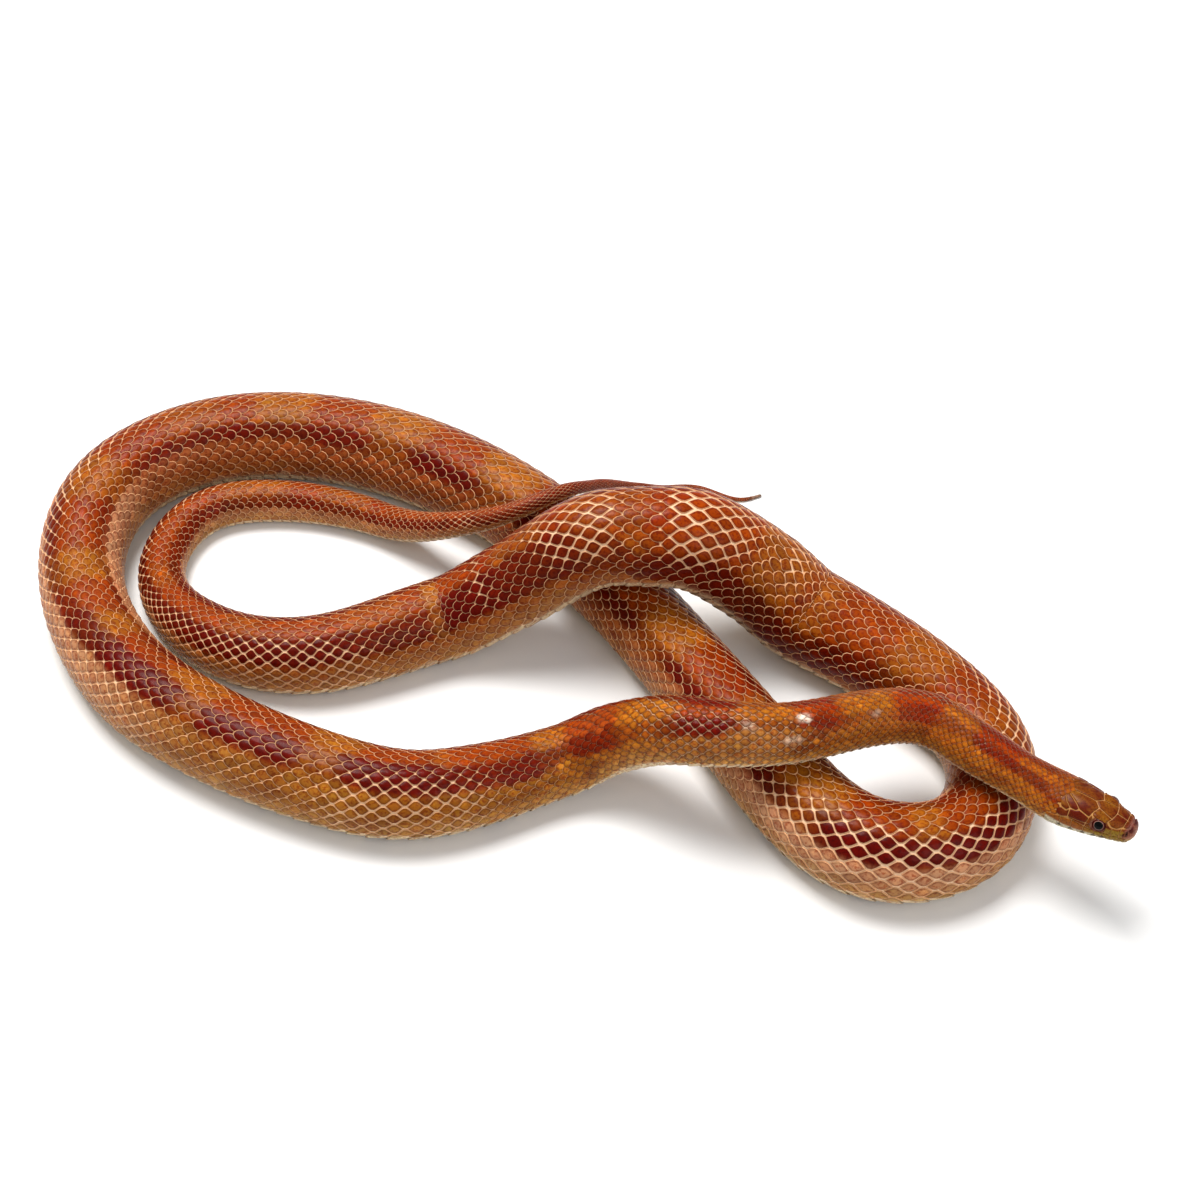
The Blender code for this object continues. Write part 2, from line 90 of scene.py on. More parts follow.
def through(knots, values, at):
    """Natural cubic spline through the values: each span is the cubic whose bend is continuous."""
    count = len(knots)
    step = np.diff(knots)
    system = np.eye(count)
    load = np.zeros(values.shape)
    slope = np.diff(values, axis=0) / step[:, None]
    for i in range(1, count - 1):
        system[i, i - 1:i + 2] = step[i - 1], 2 * (step[i - 1] + step[i]), step[i]
        load[i] = 6 * (slope[i] - slope[i - 1])
    bend = np.linalg.solve(system, load)
    i = np.clip(np.searchsorted(knots, at, side="right") - 1, 0, count - 2)
    past, left, width = (at - knots[i])[:, None], (knots[i + 1] - at)[:, None], step[i][:, None]
    cubic = (bend[i] * left**3 + bend[i + 1] * past**3) / (6 * width)
    start = values[i] / width - bend[i] * width / 6
    end = values[i + 1] / width - bend[i + 1] * width / 6
    return cubic + start * left + end * past


def eased(table, at, column=1):
    """Smooth curve through a column of the table that never overshoots its stations."""
    table = np.asarray(table, float)
    knots, values = table[:, 0], table[:, column]
    at = np.asarray(at, float)
    step = np.diff(knots)
    slope = np.diff(values) / step
    turn = np.zeros(len(knots))
    same_way = slope[:-1] * slope[1:] > 0
    inner = 2 * slope[:-1] * slope[1:] / np.where(same_way, slope[:-1] + slope[1:], 1.0)
    turn[1:-1] = np.where(same_way, inner, 0.0)
    turn[0], turn[-1] = slope[0], slope[-1]
    i = np.clip(np.searchsorted(knots, at, side="right") - 1, 0, len(knots) - 2)
    t = np.clip((at - knots[i]) / step[i], 0.0, 1.0)
    rise = 3 * t**2 - 2 * t**3
    return (values[i] * (1 - rise) + values[i + 1] * rise
            + step[i] * (turn[i] * t * (1 - t)**2 - turn[i + 1] * t**2 * (1 - t)))


def lay_spine():
    """Dense lengths and points of the body's axis: the plan is a spline, the lift eases between stations."""
    route = np.array(ROUTE) - OUTLINE_MIDDLE
    chord = np.r_[0.0, np.cumsum(np.linalg.norm(np.diff(route, axis=0), axis=1))]
    dense = np.linspace(0.0, chord[-1], SPINE_SAMPLES)
    plan = through(chord, route[:, :2], dense)
    lift = eased(np.column_stack([chord, route[:, 2]]), dense)
    line = np.column_stack([plan, lift])
    length = np.r_[0.0, np.cumsum(np.linalg.norm(np.diff(line, axis=0), axis=1))]
    line[:, 2] += AXIS_HEIGHT * eased(GIRTH, length)
    return length, line


SPINE_LENGTH, SPINE_LINE = lay_spine()
# Head sizes run on into the body's, so that one surface covers both.
PROFILE = np.array(HEAD + [(at, half, half, BELLY_DEPTH * half) for at, half in GIRTH
                           if at > HEAD_END + HEAD_EASING])


def axis_point(at):
    """Point of the body's axis at lengths from the snout, in millimetres."""
    return np.stack([np.interp(at, SPINE_LENGTH, SPINE_LINE[:, k]) for k in range(3)], axis=-1)


def axis_frame(at):
    """Centre, backward, right and upward directions of the body, straight past the ends of its axis."""
    reach = 1.5
    inside = np.clip(at, 0.0, SPINE_LENGTH[-1])
    back = axis_point(inside + reach) - axis_point(inside - reach)
    back /= np.linalg.norm(back, axis=-1, keepdims=True)
    right = np.cross(np.array([0.0, 0.0, 1.0]), back)
    right /= np.linalg.norm(right, axis=-1, keepdims=True)
    return axis_point(inside) + back * (at - inside)[..., None], back, right, np.cross(back, right)


def section(at):
    """Half width, height, depth and the powers of back and belly of a section."""
    share = np.clip(at / HEAD_END, 0.0, 1.0)
    size = [eased(PROFILE, at, column) for column in (1, 2, 3)]
    powers = [snout + (body - snout) * share for snout, body in (BACK_POWERS, BELLY_POWERS)]
    return (*size, *powers)


def body_point(at, angle, out=0.0, floor=0.0):
    """Point of the animal in millimetres.

    across = sign(sin) |sin|^(2/power) (width + out), and up = sign(cos) |cos|^(2/power) times height
    or depth with out added. The angle is in degrees from the middle of the back, toward the right.
    """
    at, angle, out = np.broadcast_arrays(np.asarray(at, float), angle, out)
    centre, _, right, upward = axis_frame(at)
    width, top, depth, crown, belly = section(at)
    side, rise = np.sin(np.radians(angle)), np.cos(np.radians(angle))
    power = 2 / np.where(rise > 0, crown, belly)
    height = np.where(rise > 0, top, depth) + out
    across = np.sign(side) * np.abs(side)**power * (width + out)
    up = np.sign(rise) * np.abs(rise)**power * height
    point = centre + right * across[..., None] + upward * up[..., None]
    point[..., 2] = np.maximum(point[..., 2], floor)
    return point


def stretch_at(at, angle):
    """How far apart two near places lie on the surface, over how far apart they lie along the axis."""
    step = 0.05
    along = body_point(at + step, angle) - body_point(at - step, angle)
    return np.linalg.norm(along, axis=-1) / (2 * step)


def signed(angle):
    """The same angle between -180 and 180 degrees, positive on the right side."""
    return (angle + 180.0) % 360.0 - 180.0


# Floor, light and camera: a plain white sweep under soft daylight from above, seen from the
# photographer's place over the near side of the coils.
CAMERA_AT = (0.0154, -0.33095, 0.38644)
CAMERA_PITCH = 42.0
FIELD_OF_VIEW = 36.0
FLOOR_HALF = 3.0
SKY_STRENGTH = 0.45
SWEEP_WHITE, SWEEP_TOOTH = (0.82, 0.82, 0.82), (0.8, 0.8, 0.8)


def add_camera():
    """Camera with the photograph's framing."""
    lens = bpy.data.cameras.new("camera")
    lens.sensor_width = 36.0
    lens.lens = lens.sensor_width / 2 / math.tan(math.radians(FIELD_OF_VIEW / 2))
    lens.clip_start = 0.01
    camera = bpy.data.objects.new("camera", lens)
    camera.location = CAMERA_AT
    camera.rotation_euler = (math.radians(CAMERA_PITCH), 0.0, 0.0)
    bpy.context.scene.collection.objects.link(camera)
    bpy.context.scene.camera = camera


def add_light(name, place, size, power, colour):
    """Square soft box at a place, facing the middle of the floor."""
    lamp = bpy.data.lights.new(name, "AREA")
    lamp.size, lamp.energy, lamp.color = size, power, colour
    item = bpy.data.objects.new(name, lamp)
    item.location = place
    x, y, z = place
    item.rotation_euler = (math.atan2(math.hypot(x, y), z), 0.0, math.atan2(y, x) + math.pi / 2)
    bpy.context.scene.collection.objects.link(item)


add_camera()
add_light("window", (-0.25, 0.35, 1.1), 0.6, 18.5, (1.0, 0.99, 0.97))
add_light("fill", (0.7, -0.8, 0.9), 0.9, 5.0, (0.98, 0.99, 1.0))
bpy.context.scene.view_settings.view_transform = "Standard"
sky = bpy.context.scene.world or bpy.data.worlds.new("sky")
bpy.context.scene.world = sky
sky.use_nodes = True
background = sky.node_tree.nodes["Background"]
background.inputs["Color"].default_value = (1.0, 1.0, 1.0, 1.0)
background.inputs["Strength"].default_value = SKY_STRENGTH


class Wire:
    """A value in a material. Arithmetic on it adds Math nodes to the material's tree."""

    def __init__(self, tree, socket):
        self.tree, self.socket = tree, socket

    def join(self, operation, first, second):
        """Math node with this operation on two values."""
        node = self.tree.nodes.new("ShaderNodeMath")
        node.operation = operation
        for socket, value in zip(node.inputs, (first, second)):
            if isinstance(value, Wire):
                self.tree.links.new(value.socket, socket)
            else:
                socket.default_value = value
        return Wire(self.tree, node.outputs[0])

    def __sub__(self, other):
        return self.join("SUBTRACT", self, other)

    def __rsub__(self, other):
        return self.join("SUBTRACT", other, self)

    def __mul__(self, other):
        return self.join("MULTIPLY", self, other)

    __rmul__ = __mul__

    def __truediv__(self, other):
        return self.join("DIVIDE", self, other)

    def __rtruediv__(self, other):
        return self.join("DIVIDE", other, self)

    def __pow__(self, other):
        return self.join("POWER", self, other)

    def __rpow__(self, other):
        return self.join("POWER", other, self)

    def high(self, other):
        """The higher of two values."""
        return self.join("MAXIMUM", self, other)


class Finish:
    """A material in the making, with its tree and its Principled shader."""

    def __init__(self, name, **fixed):
        self.material = bpy.data.materials.new(name)
        self.material.use_nodes = True
        self.tree = self.material.node_tree
        self.shader = self.tree.nodes["Principled BSDF"]
        for label, value in fixed.items():
            self.shader.inputs[label.replace("_", " ").title().replace("Ior", "IOR")].default_value = value

    def node(self, kind, settings=None, out=0, **inputs):
        """Add a node: its settings first, then its sockets' values or links, by name or by number."""
        node = self.tree.nodes.new("ShaderNode" + kind)
        for key, value in (settings or {}).items():
            if key == "stops":
                ramp = node.color_ramp
                while len(ramp.elements) > len(value):
                    ramp.elements.remove(ramp.elements[-1])
                while len(ramp.elements) < len(value):
                    ramp.elements.new(1.0)
                for element, (position, colour) in zip(ramp.elements, value):
                    element.position, element.color = position, colour
            else:
                setattr(node, key, value)
        for key, value in inputs.items():
            socket = node.inputs[int(key[1:])] if key[0] == "i" and key[1:].isdigit() else node.inputs[key]
            if isinstance(value, Wire):
                self.tree.links.new(value.socket, socket)
            else:
                socket.default_value = value
        return Wire(self.tree, node.outputs[out])

    def read(self, label, out=0):
        """Attribute of the mesh: output 0 is a colour, 2 a number."""
        return self.node("Attribute", {"attribute_name": label}, out)

    def mix(self, share, first, second):
        """Colour between two colours, each a link or linear red, green and blue."""
        first, second = (end if isinstance(end, Wire) else (*end, 1.0) for end in (first, second))
        return self.node("Mix", {"data_type": "RGBA"}, out=2, i0=share, i6=first, i7=second)

    def gain(self, colour, channels):
        """Colour times one number for each channel."""
        return self.node("VectorMath", {"operation": "MULTIPLY"}, i0=colour, i1=channels)

    def span(self, value, low, high, to_low=0.0, to_high=1.0):
        """A value carried from one range to another, smooth at both ends."""
        settings = {"interpolation_type": "SMOOTHSTEP"}
        return self.node("MapRange", settings, i0=value, i1=low, i2=high, i3=to_low, i4=to_high)

    def noise(self, scale, detail=3.0, roughness=0.55):
        """Noise over the object's own coordinates, in metres times the scale."""
        place = self.node("TexCoord", out=3)
        return self.node("TexNoise", Vector=place, Scale=scale, Detail=detail, Roughness=roughness)

    def feed(self, label, value):
        """Link a value into the shader."""
        self.tree.links.new(value.socket, self.shader.inputs[label])

    def bump(self, height, strength, distance):
        """Relief from a height, fed to the shader's normal."""
        node = self.node("Bump", None, Height=height, Strength=strength, Distance=distance)
        self.feed("Normal", node)


def sweep_finish():
    """Finish of the sweep: even white paper with the faintest tooth."""
    finish = Finish("white_sweep", roughness=0.6)
    grain = finish.noise(900.0)
    finish.feed("Base Color", finish.mix(grain * 0.02, SWEEP_WHITE, SWEEP_TOOTH))
    return finish.material


# The part of the bake map that patches may cover, from 0 to 1.
PATCH_RANGE = (0.001, 0.999)


def surface_mesh(name, points, quads, triangles=(), values=None, patches=None):
    """Mesh object from arrays: points in millimetres, faces by index, numbers or colours by point.

    Its patches of the bake map are given by point, or by corner of every face in turn.
    """
    mesh = bpy.data.meshes.new(name)
    quads = np.asarray(quads, np.int32).reshape(-1, 4)
    triangles = np.asarray(triangles, np.int32).reshape(-1, 3)
    corners = np.r_[quads.ravel(), triangles.ravel()]
    starts = np.r_[np.arange(len(quads)) * 4, len(quads) * 4 + np.arange(len(triangles)) * 3]
    mesh.vertices.add(len(points))
    mesh.vertices.foreach_set("co", (np.asarray(points) * MM).astype(np.float32).ravel())
    mesh.loops.add(len(corners))
    mesh.loops.foreach_set("vertex_index", corners.astype(np.int32))
    mesh.polygons.add(len(starts))
    mesh.polygons.foreach_set("loop_start", starts.astype(np.int32))
    mesh.polygons.foreach_set("use_smooth", np.ones(len(starts), bool))
    mesh.update(calc_edges=True)
    for label, data in (values or {}).items():
        kind, field = ("FLOAT", "value") if data.ndim == 1 else ("FLOAT_COLOR", "color")
        if data.ndim == 2:
            data = np.column_stack([data, np.ones(len(data))])
        layer = mesh.attributes.new(label, kind, "POINT")
        layer.data.foreach_set(field, data.astype(np.float32).ravel())
    if patches is not None:
        flat = mesh.uv_layers.new(name="OFBake")
        by_corner = patches if len(patches) == len(corners) else patches[corners]
        flat.data.foreach_set("uv", np.clip(by_corner, *PATCH_RANGE).astype(np.float32).ravel())
    mesh.validate()
    item = bpy.data.objects.new(name, mesh)
    bpy.context.scene.collection.objects.link(item)
    return item


floor_corners = np.array([(-1, -1, 0), (1, -1, 0), (1, 1, 0), (-1, 1, 0)]) * FLOOR_HALF / MM
sweep = surface_mesh("sweep", floor_corners, [(0, 1, 2, 3)])
sweep.data.materials.append(sweep_finish())


# Markings: rust saddles joined into bands down the back, edged by a dark red line on each side and
# broken by paler cross bars, over tan flanks and a cream belly with small dusky checks. They are
# laid down as a function of place, so the skin and every scale on it carry the same ones.

# The dark line along each side of the back, as the trunk rolls in its coils: length from the snout,
# the angles from the middle of the back where it begins and ends, and how dark it is.
RIGHT_LINE = [
    (14, 20, 58, 0.5), (20, 13, 45, 0.75), (30, 12, 38, 0.75), (45, 10, 34, 0.55), (56, 12, 50, 0.6),
    (68, 20, 45, 0.35), (78, 22, 38, 0.6), (86, 16, 38, 0.7), (93, 16, 30, 0.5), (102, 14, 26, 0.5),
    (108, 12, 42, 0.95), (116, 18, 48, 0.9), (124, 32, 58, 0.6), (138, 28, 60, 0.7), (148, 14, 44, 0.75),
    (153, 10, 36, 0.7), (165, 10, 48, 0.85), (182, 8, 42, 0.8), (190, -2, 38, 0.95), (211, -6, 32, 0.95),
    (216, 0, 30, 0.35), (221, 0, 30, 0.4), (226, 0, 34, 0.95), (250, 0, 32, 0.95), (255, 0, 30, 0.45),
    (262, -9, 30, 0.95), (285, -6, 30, 0.95), (300, 4, 38, 0.85), (309, 15, 40, 0.5), (325, 20, 45, 0.65),
    (345, 24, 50, 0.6), (352, 26, 52, 0.35), (362, 26, 52, 0.7), (400, 28, 52, 0.75), (416, 28, 52, 0.45),
    (432, 28, 52, 0.85), (452, 28, 52, 0.45), (466, 28, 52, 0.85), (488, 30, 52, 0.45), (506, 30, 52, 0.85),
    (590, 30, 52, 0.75), (620, 26, 48, 0.7), (665, 24, 46, 0.6), (700, 34, 60, 0.5), (735, 50, 88, 0.75),
    (762, 62, 106, 0.85), (795, 65, 106, 0.85), (810, 66, 98, 0.8), (822, 34, 84, 0.6), (834, 12, 70, 0.85),
    (870, 15, 60, 0.95),
    (874, 20, 60, 0.35), (879, 24, 62, 0.75), (905, 17, 60, 0.9), (930, 17, 60, 0.95), (950, 20, 62, 0.85),
    (975, 30, 68, 0.9), (1000, 25, 66, 0.7), (1060, 26, 62, 0.6), (1100, 20, 80, 0.6),
    (1130, 0, 110, 0.5), (1187, 0, 110, 0.4),
]
LEFT_LINE = [
    (14, 20, 58, 0.5), (20, 13, 45, 0.75), (45, 10, 36, 0.6), (70, 20, 45, 0.4), (88, 18, 44, 0.7),
    (100, 18, 40, 0.5), (110, 14, 42, 0.9), (150, 26, 50, 0.7), (180, 36, 60, 0.75), (210, 44, 70, 0.85),
    (217, 44, 70, 0.4), (226, 44, 70, 0.85), (250, 44, 70, 0.85), (257, 44, 66, 0.4), (268, 42, 62, 0.8),
    (290, 40, 50, 0.7), (315, 36, 46, 0.55), (330, 30, 46, 0.4), (360, 30, 46, 0.45), (370, 32, 47, 0.75),
    (395, 31, 50, 0.9), (440, 28, 53, 0.9), (453, 28, 53, 0.5), (462, 28, 53, 0.95), (482, 28, 52, 0.95),
    (490, 28, 52, 0.5), (502, 28, 52, 0.9), (552, 32, 52, 0.85), (562, 32, 52, 0.5), (572, 32, 52, 0.9),
    (592, 30, 52, 0.9), (605, 26, 52, 0.9), (620, 24, 52, 0.85), (626, 24, 50, 0.45), (634, 20, 54, 0.98),
    (675, 20, 54, 0.95), (690, 25, 50, 0.45), (716, 25, 50, 0.3), (760, 30, 55, 0.6), (800, 25, 55, 0.6),
    (870, 22, 55, 0.8), (950, 22, 55, 0.8), (980, 30, 70, 0.7), (1000, 30, 66, 0.75), (1060, 28, 60, 0.8),
    (1100, 20, 80, 0.6), (1130, 0, 110, 0.5), (1187, 0, 110, 0.4),
]
# Pale cross bars between the saddles: length from the snout, half breadth and strength.
CROSS_BARS = [
    (25, 5, 0.6), (48, 4.5, 0.9), (73, 7, 1), (99, 6, 0.9), (126, 7, 1), (157, 5.5, 0.9), (188, 1.5, 0.4),
    (216, 6, 0.9), (258, 8, 0.8), (292, 5, 0.9), (319, 5.5, 0.9), (353, 7, 0.7), (388, 8, 0.35),
    (416, 8, 0.8), (453, 8, 0.8), (490, 9, 0.9), (526, 7, 0.8), (563, 8, 0.8), (598, 5, 0.5), (624, 8, 0.9),
    (654, 3.5, 0.8), (694, 6, 0.4), (723, 7, 0.6), (757, 6, 0.5), (776, 8, 0.6), (818, 8, 0.3),
    (841, 8, 0.5), (873, 2.5, 0.9), (890, 8, 0.3), (926, 5, 0.3), (962, 5, 0.3), (1012, 9, 0.5),
    (1040, 7, 0.4),
]
# The flank: length, share of ochre, share of flesh pink over its tan, and how mottled it is.
FLANK = [
    (0, 0.4, 0.0, 0.5), (50, 0.5, 0.0, 0.75), (90, 0.4, 0.0, 0.8), (102, 0.2, 0.1, 0.2),
    (130, 0.3, 0.0, 0.75), (180, 0.2, 0.0, 0.45), (250, 0.2, 0.1, 0.35), (290, 0.15, 0.7, 0.15),
    (345, 0.2, 0.8, 0.1),
    (365, 0.8, 0.2, 0.15), (420, 0.9, 0.1, 0.35), (480, 0.9, 0.1, 0.55), (540, 0.8, 0.1, 0.8),
    (590, 0.3, 0.5, 0.4), (620, 0.1, 0.8, 0.15), (680, 0.1, 0.8, 0.1), (700, 0.5, 0.4, 0.4),
    # From 728 to 825 the strong dark mottling is partly the flank's own mottling and partly painted shade on
    # the inner side of the raised arch.
    (728, 0.9, 0.0, 0.95), (825, 0.9, 0.0, 0.9), (842, 0.6, 0.1, 0.3), (930, 0.5, 0.1, 0.3),
    (960, 0.2, 0.4, 0.3), (1000, 0.3, 0.5, 0.5), (1060, 0.5, 0.3, 0.6), (1187, 0.5, 0.2, 0.5),
]
# White flecks on the neck: length, angle, half size along and round, and strength.
FLECKS = [(90.5, 12, 1.6, 9, 0.9), (72.3, 31, 1.2, 6, 0.3), (94.0, 50, 1.2, 6, 0.45),
          (103.0, 22, 1.0, 8, 0.4)]
# Angles from the middle of the back over which the flank turns tan and then cream.
FLANK_LOW, BLOTCH_END, BELLY_EDGE = (70, 100), (84, 106), (103, 112)
# Rough sizes of a cloud along and round the body, in millimetres and degrees.
WANDER, SADDLE_CLOUD, BLOTCH_CLOUD, CHECK_CLOUD = (9.0, 14.0), (22.0, 30.0), (4.0, 7.0), (4.0, 9.0)
# How far the edges of the lines wander, in degrees, and the shares of bars and blotches over the rest.
EDGE_WANDER, BAR_SHARE, BLOTCH_SHARE, CHECK_SHARE = 2.5, 0.64, 0.75, 0.5
# Lengths over which the brown nape ends and the tip of the tail darkens, and the angles of the nape.
NAPE_END, NAPE_SIDE, TIP_DARKENS = (18.5, 24.0), (24, 50), (1181, 1186)


def tone(red, green, blue):
    """Linear colour from the display values 0 to 255."""
    value = np.array([red, green, blue]) / 255.0
    return np.where(value <= 0.04045, value / 12.92, ((value + 0.055) / 1.055)**2.4)


RUST = tone(134, 50, 1)
DEEP_RUST = tone(122, 30, 0)
FLESH_RUST = tone(136, 58, 18)
DARK_LINE = tone(84, 2, 0)
BAR_TAN = tone(160, 100, 24)
FLANK_TAN = tone(144, 92, 24)
FLANK_OCHRE = tone(148, 62, 3)
FLANK_PINK = tone(190, 132, 98)
LOW_TAN = tone(162, 114, 54)
BELLY = tone(206, 184, 150)
CHECK = tone(120, 92, 68)
SKIN_CREAM = tone(242, 210, 172)
TAIL_TIP = tone(26, 12, 10)
NAPE_BROWN = tone(118, 60, 12)
FLECK = tone(226, 214, 196)


def blend(first, second, share):
    """Colours between two colours by a share from 0 to 1."""
    return first + (second - first) * np.clip(share, 0.0, 1.0)[..., None]


def ramp(value, low, high):
    """Smooth step from 0 at low to 1 at high."""
    t = np.clip((value - low) / (high - low), 0.0, 1.0)
    return t * t * (3 - 2 * t)


def ripple(at, angle, seed, size):
    """Soft irregular value about 0 with a rough size along and round the body.

    It is a sum of five sine waves along and aslant, each times a cosine round the body that bends,
    with seeded phases, and each a whole number of times finer and as many times lower.
    """
    draw = np.random.default_rng(seed)
    along, round_by = at / size[0], angle / size[1]
    total = np.zeros(np.broadcast(at, angle).shape)
    for level in range(1, 6):
        phase = draw.uniform(0, 2 * math.pi, 3)
        aslant = draw.uniform(-1.0, 1.0)
        wave = np.sin(along * level * 0.9 + round_by * aslant * level + phase[0])
        bend = np.sin(along * 0.37 + phase[2])
        total = total + wave * np.cos(round_by * level * 0.6 + phase[1] + bend) / level
    return total / 2.3


def dark_line(at, angle, table):
    """How much of the dark line covers a place: its strength within its two angles."""
    low, high, strength = (eased(table, at, column) for column in (1, 2, 3))
    return strength * ramp(angle, low - 4, low + 3) * (1 - ramp(angle, high - 3, high + 5))


def markings(at, angle):
    """Colour of the animal at lengths and angles, as linear red, green and blue."""
    at, angle = np.broadcast_arrays(np.asarray(at, float), np.asarray(angle, float))
    turn = signed(angle)
    wander = ripple(at, turn, 3, WANDER)
    bar = np.zeros(at.shape)
    for middle, half, strength in CROSS_BARS:
        reach = half * (1 + 0.2 * wander) + 0.4
        away = np.abs(at - middle + 1.2 * wander)
        bar = np.maximum(bar, strength * (1 - ramp(away, 0.75 * reach, 1.3 * reach)))
    cloud = ripple(at, turn, 17, SADDLE_CLOUD)
    back = blend(blend(RUST, DEEP_RUST, ramp(cloud, 0.1, 0.7)), FLESH_RUST, ramp(-cloud, 0.1, 0.7))
    back = blend(back, BAR_TAN, BAR_SHARE * bar)
    right, left = turn + EDGE_WANDER * wander, -turn + EDGE_WANDER * wander
    line = np.maximum(dark_line(at, right, RIGHT_LINE), dark_line(at, left, LEFT_LINE))
    foot = np.where(turn > 0, eased(RIGHT_LINE, at, 2), eased(LEFT_LINE, at, 2))
    beyond = np.where(turn > 0, right, left)
    ochre, pink, mottled = (eased(FLANK, at, column) for column in (1, 2, 3))
    blotch = mottled * ramp(ripple(at, turn, 11, BLOTCH_CLOUD), -0.15, 0.35) * (1 - 0.6 * bar)
    flank = blend(blend(FLANK_TAN, FLANK_OCHRE, ochre), FLANK_PINK, pink)
    flank = blend(flank, LOW_TAN, ramp(beyond, *FLANK_LOW) * (1 - 0.7 * ochre))
    flank = blend(flank, DARK_LINE, BLOTCH_SHARE * blotch * (1 - ramp(beyond, *BLOTCH_END)))
    colour = blend(back, flank, ramp(beyond, foot - 3, foot + 7))
    colour = blend(colour, DARK_LINE, line)
    for middle, place, long, wide, strength in FLECKS:
        near = np.exp(-((at - middle) / long)**4 - ((turn - place) / wide)**4)
        colour = blend(colour, FLECK, strength * near)
    check = ramp(ripple(at, turn, 29, CHECK_CLOUD), 0.15, 0.4)
    under = blend(BELLY, CHECK, CHECK_SHARE * check)
    colour = blend(colour, under, ramp(np.abs(turn), *BELLY_EDGE))
    nape = (1 - ramp(at, *NAPE_END)) * (1 - ramp(np.abs(turn), *NAPE_SIDE))
    colour = blend(colour, NAPE_BROWN, 0.8 * nape)
    return blend(colour, TAIL_TIP, ramp(at, *TIP_DARKENS))


# Skin: the soft, pale hide that shows between the scales where the body bends. It is one closed
# surface from the snout to the tip of the tail, a little inside the tops of the scales it carries.

# Lengths of the body, with the solids that their pieces stand for and the cuts between them.
LENGTH_NAMES = ["neck_1", "neck_2", *(f"body_{i:02d}" for i in range(1, 15)),
                "tail_1", "tail_2", "tail_3", "tail_tip"]
CUTS = [0, 86, 150, 214, 276, 326, 376, 440, 506, 570, 626, 666, 710, 766, 832, 892, 946, 986, 1030,
        1090, TAIL_END]
LENGTHS = list(zip(LENGTH_NAMES, CUTS, CUTS[1:]))
# Points round the skin, steps between its rings, and how far its point lies past the last ring.
SKIN_SIDES, HEAD_STEP, BODY_STEP, TAIL_POINT = 108, 0.32, 2.1, 0.6
# Strips that its bake patches lie in, and the radius of the patches of its two tips.
SKIN_STRIPS, TIP_DISC = 8, 0.008
FOLD_FLUSH, HIDE_FLUSH = tone(206, 150, 118), tone(234, 186, 162)
# Line of the mouth: length from the snout and height from the axis, in millimetres.
MOUTH = [(-2.0, -1.3), (3.0, -1.5), (8.0, -2.3), (13.0, -2.5), (18.0, -1.9), (20.5, -1.5)]
# Painted shade for the groove of the mouth and the hollows of the nostrils.
MOUTH_PAINTED_SHADE = tone(60, 24, 18)
SUTURE = tone(172, 122, 62)
NOSTRIL_AT, NOSTRIL_UP, NOSTRIL_RADIUS = 1.68, 1.2, 0.5
# How deep the groove of the mouth and the nostrils go, and the half height of the groove.
MOUTH_GROOVE, NOSTRIL_HOLLOW, MOUTH_HALF = 0.34, 0.75, 0.22
MOUTH_FADE = 0.4


def height_on_head(at, angle):
    """Height of a place of the head over its axis: cosine to the section's power times height or depth."""
    _, top, depth, crown, belly = section(at)
    rise = np.cos(np.radians(angle))
    return np.where(rise > 0, top * np.abs(rise)**(2 / crown), -depth * np.abs(rise)**(2 / belly))


def height_over_mouth(at, angle):
    """Height of a place of the head over the line of the mouth, in millimetres."""
    return height_on_head(at, angle) - eased(MOUTH, at)


def mouth_closeness(at, angle):
    """1 on the line of the mouth, falling to 0 a little way off it and behind its corner."""
    off, corner = height_over_mouth(at, angle) / MOUTH_HALF, MOUTH[-1][0]
    behind = ramp(at, corner - MOUTH_FADE, corner + MOUTH_FADE)
    return np.exp(-off**2) * (1 - behind) * ramp(at, 0.1, 0.5)


def nostril_closeness(at, angle):
    """1 in the middle of a nostril, falling to 0 at its rim."""
    up = height_on_head(at, angle) - NOSTRIL_UP
    return np.exp(-((at - NOSTRIL_AT)**2 + up**2) / NOSTRIL_RADIUS**2) * (np.abs(signed(angle)) > 25)


# The brow is a low ridge of the head that overhangs the eye: its middle, breadths and height.
BROW_AT, BROW_ANGLE, BROW_LONG, BROW_WIDE, BROW_HIGH = 8.0, 43.0, 2.1, 13.0, 0.42
# Place and size of the eye in the head: length, height over the axis, radius and how far it stands out.
EYE_AT, EYE_UP, EYE_RADIUS, EYE_STANDS_OUT = 8.0, 1.7, 1.9, 0.6


def brow(at, angle):
    """Height of the ridge over each eye: a hill that falls as exp(-x^4) from its middle."""
    away = np.abs(signed(angle)) - BROW_ANGLE
    return BROW_HIGH * np.exp(-((at - BROW_AT) / BROW_LONG)**4 - (away / BROW_WIDE)**4)


def eye_closeness(at, angle):
    """1 over the eye's ball, falling to 0 just past the ring of skin round it."""
    up = height_on_head(at, angle) - EYE_UP
    return 1 - ramp(np.hypot(at - EYE_AT, up), EYE_RADIUS, 1.2 * EYE_RADIUS)


CROWN_BROWN = tone(112, 54, 8)
CROWN_RED = tone(86, 16, 4)
CROWN_OCHRE = tone(138, 84, 14)
SNOUT_FLESH = tone(148, 84, 70)
# Colour of the dark red spot over the nostril, also painted as shade in the nostril itself.
SNOUT_SPOT_AND_NOSTRIL_SHADE = tone(62, 0, 6)
LIP_OLIVE = tone(134, 102, 30)
LIP_OCHRE = tone(140, 74, 10)
LIP_CREAM = tone(202, 190, 160)
LIP_DASH = tone(14, 10, 9)
CROWN_CLOUD = (9.0, 16.0)
# Spot over the nostril: length, half length, angle and half angle. Dashes of the lip: half length,
# height over the mouth and half height.
SPOT_AT, SPOT_LONG, SPOT_ANGLE, SPOT_WIDE = 1.05, 0.75, 24, 21
DASH_LONG, DASH_UP, DASH_HIGH = 0.62, 0.72, 0.42
